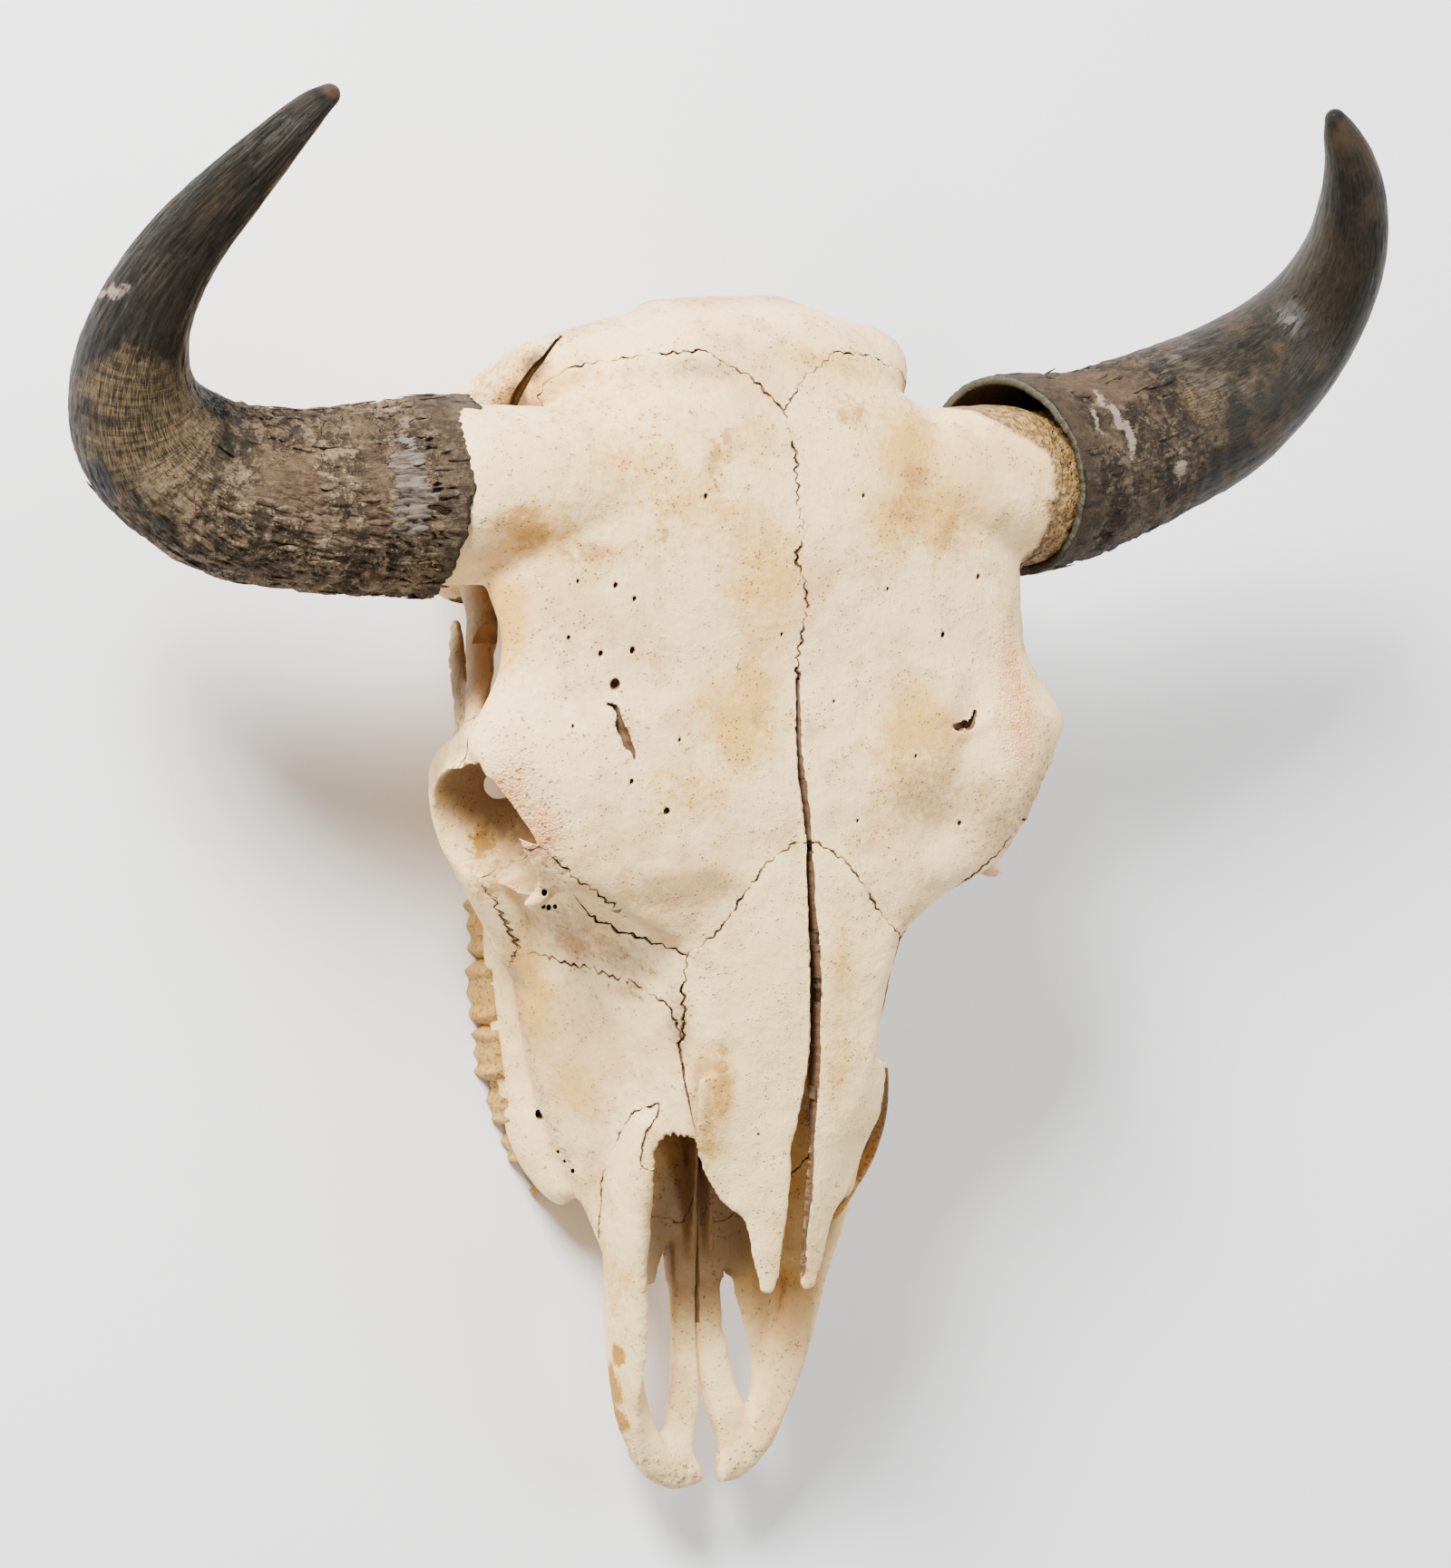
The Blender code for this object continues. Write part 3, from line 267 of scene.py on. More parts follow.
# The line between the two halves, from the poll to the nose: y, x and half the width of the crack. The
# dried bones have drawn apart along it.
MIDLINE = ((320, 0, 0.15), (194, 0.4, 0.15), (177, 2.5, 0.15), (153, 2.2, 0.15), (138, 3.5, 0.15),
           (129, -1.0, 0.15), (121, 2.5, 0.2), (84, 0, 0.25), (60, -1, 0.8), (46, -1.5, 1.2),
           (28, -0.5, 1.7), (15, 1.4, 1.6), (5, 2.2, 1.1), (-5, 2.4, 1.4), (-45, 4.5, 2.4),
           (-97, 5.6, 3.0), (-118, 3.4, 4.4), (-158, 1.2, 5.8), (-185, 0.6, 6.4), (-200, 0.5, 6.6),
           (-320, 0.5, 6.6))
MUZZLE_GAP = ((-320, 3.0, 5.5), (-289, 3.2, 5.6), (-280, 2.4, 7.8), (-269, 1.8, 6.6), (-256, 0.8, 3.2),
              (-245, -0.2, 1.9), (-230, -1.0, 1.5), (-205, -1.2, 1.1), (-186, -0.6, 0.5), (-150, 0, 0.15),
              (-100, 0, 0.15))

# Horn sheaths: x, y, z of the middle, half across, half high. The animal's left one has slipped out along
# its core.
SHEATH = {
    "right": ((-124, 162, -42, 44.4, 45), (-152, 162, -44, 44, 44.6), (-180, 161.5, -48, 43, 43.2),
              (-206, 161.8, -50, 41.2, 41.5), (-240, 166.5, -54, 39.6, 39.6),
              (-265, 178, -54, 35.6, 35.6), (-282, 193, -49, 31.6, 31.6), (-291.5, 211, -37, 26, 26),
              (-294, 229.5, -21, 21.4, 21.4), (-292.5, 246, -2, 18.4, 18.4), (-286, 263, 18, 15.8, 15.8),
              (-275.5, 279, 37, 13.2, 13.2), (-264, 294, 53, 10.2, 10.2), (-252.5, 307, 63, 7.2, 7.2),
              (-244.5, 313.5, 68, 4.4, 4.4)),
    "left": ((126, 167, -40, 47, 48), (157, 170, -40, 47, 48), (189, 174.5, -42, 45.5, 46),
             (230, 186.5, -44, 42.3, 42.8), (272, 203, -40, 38, 38.5), (303, 225.5, -29, 31.2, 31.2),
             (317, 248, -12, 25, 25), (316, 270, 10, 20.3, 20.3), (306, 291, 30, 16.2, 16.2),
             (292, 307, 46, 12, 12), (279, 318.5, 56, 8.2, 8.2), (271.5, 325.5, 61, 4.6, 4.6)),
}
CORE = {
    "right": ((-130, 163, -40, 37, 37), (-156, 162, -41.5, 35, 35), (-180, 160, -46, 32, 32),
              (-210, 162, -50, 27, 27), (-236, 168, -53, 20, 20), (-252, 174, -54, 10, 10)),
    "left": ((146, 163, -35, 37, 37), (156, 163, -35, 35.5, 35.5), (182, 168, -39, 34, 34),
             (215, 180, -43, 31, 31), (246, 192, -43, 26, 26), (268, 202, -41, 18, 18),
             (282, 210, -37, 8, 8)),
}
# The bases of the sheaths: a point and the way out along the horn. Inside, the room round the core.
SHEATH_BASE = {"right": ((-145.5, 161, -44), (-1, 0.24, -0.18)),
               "left": ((146.5, 170, -40), (1, 0.19, -0.22))}
SHEATH_ROOM = {
    "right": ((-112, 162, -41, 42, 41.5), (-148, 162, -42, 41.6, 41), (-163, 161.8, -44.5, 41.2, 40.6),
              (-173, 161.6, -46.5, 36, 36)),
    "left": ((118, 167, -40, 43, 44), (157, 170, -40, 42.5, 43.5), (189, 173.5, -42, 38.5, 39),
             (222, 182.5, -43.6, 32.5, 32.8), (240, 189.4, -43.2, 27.2, 27.2)),
}

# Upper teeth from the second premolar to the last molar: x and y of the middle, breadth, length, crown
# lobes, and how far the crown stops short of the floor.
TEETH = (
    (52, -146, 17, 17, 1, 1.6),
    (60.5, -129, 22, 20, 1, 1.2),
    (65.5, -109.5, 25, 22, 1, 0.8),
    (68.5, -87, 28, 28, 2, 0.0),
    (69, -59, 29, 32, 2, 0.0),
    (67, -28, 28, 33, 2, 0.0),
)
TOOTH_ROOT = -146.0

# Sutures, drawn on the right side as positive numbers and used on both. In plan: x and y.
NASAL_PLAN = ((-8, 4), (3.9, 4), (12, 1), (22, -6), (32, -18), (42, -31), (54.5, -41), (54, -55),
              (51, -72), (50.5, -90), (51, -104), (49.5, -122), (48.5, -124), (-8, -124))
NASAL_FREE_PLAN = ((-8, -123.5), (48.5, -123.5), (45, -134), (39.5, -146), (34, -156), (27, -163),
                   (24, -180), (21, -215), (-8, -215))
FRONTAL_PLAN = ((-8, 194), (0, 194), (4, 199), (14, 210.5), (24, 215), (33.5, 222), (53.5, 221.5),
                (72, 219.5), (85, 218), (94, 213), (99, 203), (106, 200), (170, 215), (170, 75),
                (170, 15), (124, 8), (119, 3), (110, -5.5), (96, -14.5), (77, -28.5), (54, -42),
                (-8, -42))
# In side view: y and z.
MUZZLE_SIDE = ((-108, -48), (-124, -56), (-136, -60), (-150, -45), (-200, -20), (-310, -20), (-310, -150),
               (-187, -150), (-184, -118), (-172, -111), (-157, -104), (-146, -98), (-135, -88),
               (-121, -74), (-112, -63))
TEAR_SIDE = ((10, 0), (-42, 0), (-98, -8), (-98, -22), (-88, -27), (-64, -30), (-54, -44), (-47, -65),
             (-43, -82), (-38, -97), (-16, -86), (-4, -86), (10, -70))
CHEEK_SIDE = ((-4, -86), (-16, -86), (-38, -98), (-46, -112), (-40, -124), (-16, -130), (18, -122),
              (58, -118), (122, -124), (122, -105), (109, -98.5), (84, -88), (70, -82), (63, -76),
              (66, -66), (66, -53), (40, -53), (40, -70), (10, -70))
HORN_PLAN = ((96, 100), (300, 100), (300, 300), (124, 300), (120, 197), (108, 188), (96, 186))
HORN_DEPTH = -81.0
BROW_PLAN = ((98, 38), (200, 38), (200, 78), (98, 78))
BROW_DEPTH = -53.0
FRONTAL_DEPTH = -45.0
MAXILLA_BACK = 12.0


def reader(knots):
    """A smooth curve through (place, value) knots, read at any places."""
    places, values = np.array(sorted(knots), float).T
    slopes = np.gradient(values, places)

    def read(place):
        """The curve's value at a place or at an array of them."""
        place = np.clip(place, places[0], places[-1])
        i = np.clip(np.searchsorted(places, place) - 1, 0, len(places) - 2)
        span = places[i + 1] - places[i]
        t = (place - places[i]) / span
        ends = (2 * t ** 3 - 3 * t * t + 1) * values[i] + (3 * t * t - 2 * t ** 3) * values[i + 1]
        return ends + span * ((t ** 3 - 2 * t * t + t) * slopes[i] + (t ** 3 - t * t) * slopes[i + 1])
    return read


def resampled(rows, count):
    """Rows of numbers joined by smooth curves and read at count even steps."""
    steps = np.linspace(0, len(rows) - 1, count)
    return np.stack([reader(list(enumerate(column)))(steps) for column in zip(*rows)], axis=1)


def closed_curve(points, count):
    """count points on a smooth closed curve through the given ones."""
    points = np.array(points, float)
    place = np.arange(count) * len(points) / count
    i = place.astype(int)
    t = (place - i)[:, None]
    a, b, c, d = (points[(i + k) % len(points)] for k in (-1, 0, 1, 2))
    square, cube = 2 * a - 5 * b + 4 * c - d, 3 * b - a - 3 * c + d
    return 0.5 * (2 * b + (c - a) * t + square * t * t + cube * t ** 3)


def linked(name, data):
    """A new object of the scene that shows this data."""
    made = bpy.data.objects.new(name, data)
    bpy.context.scene.collection.objects.link(made)
    return made


def placed(name, mesh):
    """A drawn mesh as an object of the scene."""
    data = bpy.data.meshes.new(name)
    mesh.to_mesh(data)
    mesh.free()
    return linked(name, data)


def skin(name, rings, wall=PLAIN):
    """A closed solid through rings of as many points each, in millimetres, its faces in one material slot."""
    rings = np.array(rings, float) * MM
    rows, count = rings.shape[:2]
    index = np.arange(rows * count).reshape(rows, count)
    across = np.roll(index, -1, axis=1)
    quads = np.stack([index[:-1], across[:-1], across[1:], index[1:]], axis=-1).reshape(-1, 4)
    mesh = bmesh.new()
    verts = [mesh.verts.new(point) for point in rings.reshape(-1, 3)]
    for quad in quads:
        mesh.faces.new([verts[i] for i in quad])
    mesh.faces.new([verts[i] for i in index[0][::-1]])
    mesh.faces.new([verts[i] for i in index[-1]])
    bmesh.ops.recalc_face_normals(mesh, faces=mesh.faces)
    bmesh.ops.triangulate(mesh, faces=mesh.faces)
    for face in mesh.faces:
        face.material_index = wall
    return placed(name, mesh)


def limb(name, stations, side=1, up=(0, 0, 1), sides=28, steps=None, grow=0.0, wall=PLAIN):
    """A bent tube through stations of x, y, z, half across and half high, its section square to its path."""
    steps = steps or 8 * len(stations)
    rows = resampled(stations, steps)
    middles = rows[:, :3] * (side, 1, 1)
    ahead = np.gradient(middles, axis=0)
    ahead /= np.linalg.norm(ahead, axis=1)[:, None]
    across = np.cross(up, ahead)
    across /= np.linalg.norm(across, axis=1)[:, None]
    high = np.cross(ahead, across)
    turns = np.arange(sides) * 2 * math.pi / sides
    wide = across[:, None] * np.cos(turns)[None, :, None] * (rows[:, 3] + grow)[:, None, None]
    tall = high[:, None] * np.sin(turns)[None, :, None] * (rows[:, 4] + grow)[:, None, None]
    return skin(name, middles[:, None] + wide + tall, wall)


def section_body(name, stations, sides=96, step=4.0):
    """A body through half cross-sections along y, mirrored across the middle plane."""
    places = sorted(stations)
    corners = range(len(stations[places[0]]))
    readers = [[reader([(y, stations[y][k][j]) for y in places]) for j in (0, 1)] for k in corners]
    rings = []
    for y in np.linspace(places[0], places[-1], int((places[-1] - places[0]) / step) + 2):
        half = [(read_x(y), read_z(y)) for read_x, read_z in readers]
        whole = half + [(-x, z) for x, z in half[-2:0:-1]]
        rings.append([(x, y, z) for x, z in closed_curve(whole, sides)])
    return skin(name, rings)


def forehead_plate(sides=80, step=4.0):
    """The broad plate of the forehead with its rounded borders."""
    columns = list(zip(*FOREHEAD))
    readers = [reader(list(zip(columns[0], column))) for column in columns[1:]]
    across = np.cos(np.arange(2 * sides) * math.pi / sides)
    across = np.sign(across) * np.abs(across) ** 0.7
    upper = np.arange(2 * sides) < sides
    rings = []
    for y in np.linspace(columns[0][0], columns[0][-1], int((columns[0][-1] - columns[0][0]) / step) + 2):
        half_width, border, top, underside, squareness = (read(y) for read in readers)
        rise = (1 - np.abs(across) ** squareness) ** (1 / 1.8)
        level = np.where(upper, top, underside)
        ring = np.stack([across * half_width, np.full(2 * sides, y), border + (level - border) * rise],
                        axis=1)
        rings.append(ring)
    return skin("forehead", rings)


def nasal_bone(side, steps=60, sides=13):
    """One nasal bone in front of the face: an arched plate that ends in a free tip."""
    t = np.linspace(0, 1, sides)
    edge = (t == 0) | (t == 1)
    rings = []
    for y, inner_z, outer_z, inner_x, outer_x, thickness in resampled(NASAL, steps):
        x = inner_x + (outer_x - inner_x) * t
        z = inner_z + (outer_z - inner_z) * t ** 1.9
        deep = thickness * (1.25 - 0.35 * t) * np.where(edge, 0.45, 1.0)
        top = np.stack([x * side, np.full(sides, y), z - np.where(edge, 0.2 * thickness, 0)], axis=1)
        low = np.stack([(x - 0.55 * t * thickness) * side, np.full(sides, y), z - deep], axis=1)
        rings.append(np.concatenate([top, low[::-1]]))
    return skin("nasal", rings)


def mass(name, middle, half_sizes, turn, side):
    """A rounded mass from Blender's sphere."""
    mesh = bmesh.new()
    bmesh.ops.create_uvsphere(mesh, u_segments=40, v_segments=20, radius=MM)
    turned = Euler((math.radians(turn[0]), math.radians(turn[1]) * side,
                    math.radians(turn[2]) * side)).to_matrix()
    place = Matrix.Translation((middle[0] * side * MM, middle[1] * MM, middle[2] * MM))
    mesh.transform(place @ turned.to_4x4() @ Matrix.Diagonal((*half_sizes, 1.0)))
    return placed(name, mesh)


def toothed(outline, chance, reach, step):
    """An outline whose sides wander like the edge of a bone, by the reach or by a point's own number."""
    points = []
    size = len(outline)
    for i in range(size):
        a = np.array(outline[i][:2], float)
        b = np.array(outline[(i + 1) % size][:2], float)
        bite = outline[i][2] if len(outline[i]) > 2 else reach
        length = np.linalg.norm(b - a)
        count = max(1, int(length / step)) if bite and length < 150 else 1
        normal = np.array((a[1] - b[1], b[0] - a[0])) / max(length, 1e-6)
        for k in range(count):
            t = k / count
            swing = bite * chance.uniform(0.35, 1.0) * (1 if k % 2 else -1) if k else 0.0
            slide = step * 0.3 * chance.uniform(-1, 1) if k else 0.0
            points.append(a + (b - a) * t + normal * swing + (b - a) / max(length, 1e-6) * slide)
    return points


def prism(name, outline, low, high, side=1, axis="z", wall=CREVICE):
    """A cutting block with this outline from low to high: (x, y) along z, or (y, z) along x."""
    if axis == "z":
        return skin(name, [[(a * side, b, level) for a, b in outline] for level in (low, high)], wall)
    return skin(name, [[(level * side, a, b) for a, b in outline] for level in (low, high)], wall)


def applied(body):
    """The body with its modifiers made real."""
    graph = bpy.context.evaluated_depsgraph_get()
    data = bpy.data.meshes.new_from_object(body.evaluated_get(graph), depsgraph=graph)
    body.modifiers.clear()
    old = body.data
    body.data = data
    bpy.data.meshes.remove(old)
    return body


def joined(body, others, operation="UNION"):
    """The body joined with other solids or cut by them. The others are used up."""
    operands = bpy.data.collections.new("operands")
    bpy.context.scene.collection.children.link(operands)
    for other in others:
        bpy.context.scene.collection.objects.unlink(other)
        operands.objects.link(other)
    work = body.modifiers.new("join", "BOOLEAN")
    work.operation = operation
    work.solver = "MANIFOLD"
    work.operand_type = "COLLECTION"
    work.collection = operands
    applied(body)
    for other in others:
        bpy.data.objects.remove(other)
    bpy.data.collections.remove(operands)
    return body


def softened(body, voxel, rounds):
    """The joined forms made one even skin with blended joints."""
    even = body.modifiers.new("skin", "REMESH")
    even.mode = "VOXEL"
    even.voxel_size = voxel * MM
    smooth = body.modifiers.new("smooth", "SMOOTH")
    smooth.factor = 0.5
    smooth.iterations = rounds
    return applied(body)


def copied(body, name):
    """A second object with the same form."""
    return linked(name, body.data.copy())


def numbers_of(items, name, size=1, kind=np.int32):
    """What each of Blender's items holds under a name: a number, or a row of them."""
    values = np.empty(len(items) * size, kind)
    items.foreach_get(name, values)
    return values.reshape(-1, size) if size > 1 else values


def points_of(body):
    """The places of the body's points, in millimetres."""
    return numbers_of(body.data.vertices, "co", 3, np.float32).astype(float) / MM


def normals_of(body):
    """The way out of the surface at each of the body's points."""
    return numbers_of(body.data.vertex_normals, "vector", 3, np.float32).astype(float)


def moved(body, places):
    """The body with its points at these places, in millimetres."""
    body.data.vertices.foreach_set("co", (places * MM).astype(np.float32).ravel())
    body.data.update()
    return body


def stored(body, name, values):
    """A number kept at each point of the body, for its material to read."""
    kept = body.data.attributes.get(name) or body.data.attributes.new(name, "FLOAT", "POINT")
    kept.data.foreach_set("value", values.astype(np.float32))


def main_shell(body):
    """The body without loose scraps: only its largest connected surface."""
    size = len(body.data.vertices)
    a, b = numbers_of(body.data.edges, "vertices", 2).T
    label = np.arange(size)
    while True:
        lower = np.minimum(label[a], label[b])
        fresh = label.copy()
        np.minimum.at(fresh, a, lower)
        np.minimum.at(fresh, b, lower)
        fresh = fresh[fresh]
        if np.array_equal(fresh, label):
            break
        label = fresh
    names, counts = np.unique(label, return_counts=True)
    if len(names) > 1:
        spare = set(np.flatnonzero(label != names[counts.argmax()]).tolist())
        mesh = bmesh.new()
        mesh.from_mesh(body.data)
        mesh.verts.ensure_lookup_table()
        bmesh.ops.delete(mesh, geom=[mesh.verts[i] for i in spare], context="VERTS")
        mesh.to_mesh(body.data)
        mesh.free()
    return body


def rough(places, size, seed):
    """Smooth random values about zero at these places, with lumps of about this size in millimetres."""
    shift = Vector((seed * 7.3, seed * 3.1, seed * 5.7))
    return np.array([noise.noise(Vector(p) + shift) for p in (places / size).tolist()])


def near_path(places, path, reach):
    """The distance of each place from a path of points, or a large number where it is beyond reach."""
    path = np.array(path, float)
    far = np.full(len(places), 1e3)
    inside = np.all((places > path.min(axis=0) - reach) & (places < path.max(axis=0) + reach), axis=1)
    chosen = places[inside]
    best = np.full(len(chosen), 1e3)
    for a, b in zip(path[:-1], path[1:]) if len(path) > 1 else [(path[0], path[0])]:
        way = b - a
        t = np.clip((chosen - a) @ way / max(way @ way, 1e-9), 0, 1)[:, None]
        best = np.minimum(best, np.linalg.norm(chosen - a - way * t, axis=1))
    far[inside] = best
    return far


def floor_under(y):
    """Height of the floor in the forehead's frame at this place along the skull."""
    return MOLAR_LEVEL - math.tan(math.radians(REST_TILT)) * (y + 20)


# A small form lies as drawn, or on the other side too.
ONE = (1,)
BOTH = (1, -1)
# Small forms the solids leave out: x, y, z of the path, width, height, and the sides that carry it.
RELIEF = (
    (((-82, 61, 4), (-86, 66, 5), (-76, 52, 5)), 9, 1.6, ONE),
    (((97.5, 80, 3), (97.5, 70, 3), (96, 61, 3)), 2.4, -0.8, ONE),
    (((-86, 58, 4), (-81, 54, 4)), 2.6, 0.8, ONE),
    (((79, 59, 4), (86, 68, 4)), 9, 1.5, ONE),
    (((-96, 70, 4), (-88, 50, 4), (-80, 25, 1), (-70, 0, -2)), 10, -1.3, BOTH),
    (((-118, 48, 2), (-112, 22, 0), (-98, 0, -5)), 15, 1.2, BOTH),
    (((-95, 64, 3), (-94, 54, 3), (-90, 46, 3)), 3.5, 1.4, ONE),
    (((86, 49, 2), (95, 52, 2), (104, 55, 2)), 3.5, 1.3, ONE),
    (((-60, 190, -2), (-30, 150, 4), (-8, 120, 5)), 26, 1.0, BOTH),
    (((-40, 90, 4), (-30, 60, 3)), 26, -0.9, BOTH),
    (((-112, 150, -2), (-118, 120, 0), (-120, 96, 0)), 12, 1.2, BOTH),
    (((-72, -40, -62), (-60, -62, -46), (-52, -86, -36)), 9, -1.2, BOTH),
    (((-104, -6, -52), (-92, -18, -58), (-80, -30, -62)), 11, -1.8, BOTH),
    (((-92, -22, -112), (-86, -48, -116), (-78, -66, -118)), 8, 1.8, BOTH),
    (((-76, -122, -119), (-66, -136, -112)), 6, -1.4, BOTH),
    (((-26, -10, -4), (-28, -60, -10), (-30, -110, -18)), 10, 0.9, BOTH),
    (((-45, -20, -14), (-47, -70, -20), (-46, -110, -26)), 6, -0.8, BOTH),
    (((-112, -14, -46), (-100, -24, -44), (-82, -38, -40), (-62, -52, -32)), 5.5, -2.4, BOTH),
    (((-30, -60, -12), (-33, -110, -22), (-30, -150, -28)), 4, -0.9, BOTH),
    (((-10, 20, 0), (-12, -20, -4), (-10, -90, -10)), 9, 0.8, BOTH),
    (((-92, 231, -56), (-100, 221, -58), (-106, 209, -62)), 5, 1.6, ONE),
    (((-70, 30, 2), (-64, 4, 0)), 5, 1.2, ONE),
    (((-108, 6, -9), (-90, -14, -12), (-72, -28, -12)), 6, 1.3, ONE),
)
# Rough rims and scars: the path, how far it reaches and how high its grain stands.
RIMS = (
    (((-144, 36, -13), (-134, 18, -12), (-124, 6, -11), (-113, -6, -16), (-108, -14, -34),
      (-112, -17, -60)), 7, 0.9),
    (((-149, 45, -50), (-141, 32, -80), (-133, 4, -84), (-118, -12, -84), (-112, -17, -60)), 7, 1.1),
    (((-90, -22, -114), (-82, -60, -119), (-74, -100, -121), (-62, -136, -118)), 6, 0.7),
    (((-46, -262, -118), (-34, -280, -116), (-12, -288, -112)), 9, 0.8),
    (((-118, 204, -60), (-104, 222, -50), (-60, 238, -44)), 10, 0.8),
    (((0, 246, -60), (-40, 240, -80), (-70, 226, -110)), 12, 1.0),
    (((-104, 204, -92), (-101, 216, -88), (-91, 228, -84), (-77, 234, -80), (-64, 236, -77)), 8, 1.1),
    (((-106, 204, -66), (-100, 216, -62), (-90, 227, -58)), 9, 0.6),
    (((-120, 112, -112), (-117, 96, -106), (-120, 76, -92), (-124, 58, -88)), 8, 0.8),
    (((-134, 34, -8), (-128, 20, -6)), 14, 0.22),
)
# Holes for vessels: x and y on the forehead, radius, then how far it slants to x and y.
FOREHEAD_HOLES = (
    (-96.8, 90.7, 1.2, 1, 3), (-82, 91.5, 1.4, 1, 3), (-90.9, 76.9, 2.4, 2, 4), (-110.6, 98.1, 0.9, 1, 3),
    (-88.8, 119.7, 1.2, 1, 3), (-80.2, 113.7, 1.0, 1, 3), (-44.4, 157.2, 1.1, 0, 2),
    (-105.5, 122.0, 0.8, 0, 2), (-69.7, 21.4, 1.5, 2, 5), (-85.6, 35.1, 1.1, 1, 4), (-8.4, 96.3, 0.8, 0, 2),
    (28.7, 12.6, 0.8, 0, 2), (84.4, 8.7, 1.1, 0, 3), (48.6, 115.1, 0.8, 0, 2), (79.1, 94.0, 1.2, 1, 3),
    (36.8, 156.7, 0.9, 0, 2), (-62, 52, 0.8, 0, 2), (-112, 60, 0.8, 0, 2), (18, 66, 0.7, 0, 2),
    (60, 40, 0.8, 0, 2), (102, 120, 1.2, 0, 3),
)
# Slits of the brow: x, y, half across, half deep.
SLITS = (
    ((-95, 69, 0.35, 3), (-92.2, 67.5, 0.6, 4), (-91, 64, 1.0, 4), (-90.6, 59.5, 1.9, 4),
     (-88.4, 55.5, 1.7, 4), (-87.4, 52, 1.9, 4), (-84.8, 48.4, 1.2, 4), (-84, 44.5, 0.4, 3)),
    ((81.5, 53, 0.5, 3), (84.5, 52, 1.6, 4), (88.0, 53.2, 1.3, 4), (91.0, 52.6, 1.7, 4),
     (93.6, 55.4, 0.9, 4), (95.4, 59, 0.3, 3)),
)
# Cuts along the animal's right side: the brow's edge over the eye socket, and the crest's fold by the horn.
SOCKET_CUTS = (
    ((-144.3, 49, -27.3, 1.2, 16), (-143.6, 41, -28.8, 5.6, 24), (-140.3, 33, -27.8, 7.5, 24),
     (-135.8, 26, -26.1, 7, 24), (-132.1, 21.5, -24.9, 6, 22), (-126.8, 16, -22.8, 3.6, 18),
     (-121.8, 11, -21.3, 0.6, 10)),
    ((-149.3, 50.5, -30.3, 0.8, 20), (-148.8, 46.5, -31.3, 4.5, 24), (-147.8, 41, -31.8, 6, 24),
     (-145.3, 34, -32.8, 6.4, 24), (-141.3, 27, -32.3, 6.2, 24), (-135.8, 19, -30.3, 5.6, 22),
     (-130.3, 12, -27.3, 4.2, 18), (-126.3, 7.5, -24.5, 0.8, 9)),
)
CREST_FOLD = ((-84, 233, -44, 0.3, 2), (-88, 229.4, -43.5, 0.7, 3.6), (-94.7, 222.4, -42.5, 1.0, 4.6),
              (-99.9, 216, -46, 1.5, 5), (-102.5, 208, -53, 1.9, 6), (-103.5, 200, -60, 1.6, 6))
# The crest's fold keeps the crevice slot, painted shade on its walls; the socket cuts stay plain bone.
SIDE_CUTS = [(rows, PLAIN) for rows in SOCKET_CUTS] + [(CREST_FOLD, CREVICE)]
# Holes for vessels on the sides of the face: a place outside the bone, the way in, radius and depth.
SIDE_HOLES = (
    ((-96, -121, -80), (0.47, 0.1, -0.88), 2.3, 12), ((-83.6, -132.6, -80), (0.4, 0, -0.9), 0.9, 5),
    ((-80.7, -137, -80), (0.4, 0, -0.9), 0.8, 4), ((-77.2, -141.4, -80), (0.4, 0, -0.9), 1.0, 5),
    ((-120, -10.8, -20), (0.45, 0, -0.9), 1.3, 9), ((-119, -18, -20), (0.45, 0, -0.9), 1.0, 8),
    ((-116.5, -18.6, -20), (0.45, 0, -0.9), 1.1, 8), ((-113.5, -18.3, -20), (0.45, 0, -0.9), 0.9, 8),
)


def surface_hit(tree, start, way):
    """The first place of the surface met from a start, in millimetres."""
    hit = tree.ray_cast(Vector(start) * MM, Vector(way).normalized())
    return np.array(hit[0]) / MM if hit[0] else None


def vessel_holes(body):
    """Small tapered holes and slits where vessels and nerves pass, set on the surface of the bone."""
    tree = BVHTree.FromPolygons(
        [v.co for v in body.data.vertices], [p.vertices for p in body.data.polygons])
    pins = []
    for x, y, radius, lean_x, lean_y in FOREHEAD_HOLES:
        top = surface_hit(tree, (x, y, ABOVE), DOWN)
        rows = [(top[0] + lean_x * d, top[1] + lean_y * d * 0.5, top[2] + h, radius * s, radius * s * 1.25)
                for h, s, d in ((1.5, 1.35, -0.3), (-0.4, 1.0, 0), (-3, 0.9, 0.6), (-7, 0.7, 1.5))]
        pins.append(limb("hole", rows, up=(0, 1, 0), sides=12, steps=10))
    for rows in SLITS:
        lifted = []
        for x, y, across, high in rows:
            top = surface_hit(tree, (x, y, ABOVE), DOWN)
            lifted.append((x, y, top[2] - 0.6, across, high))
        # The slits' walls take the crevice slot: painted shade.
        pins.append(limb("slit", lifted, sides=14, steps=24, wall=CREVICE))
    for side, _ in SIDES:
        for start, way, radius, depth in SIDE_HOLES:
            way = np.array(way, float) * (-side, 1, 1)
            top = surface_hit(tree, np.array(start, float) * (-side, 1, 1), way)
            rows = [(*(top + way * d * depth), radius * s, radius * s * 1.2)
                    for d, s in ((-0.3, 1.2), (0, 1.05), (0.4, 0.9), (1.0, 0.5))]
            pins.append(limb("hole", rows, up=(0, 1, 0), sides=12, steps=10))
    pins += [limb("cut", rows, up=VIEW_WAY, sides=16, steps=40, wall=wall) for rows, wall in SIDE_CUTS]
    return joined(body, pins, "DIFFERENCE")


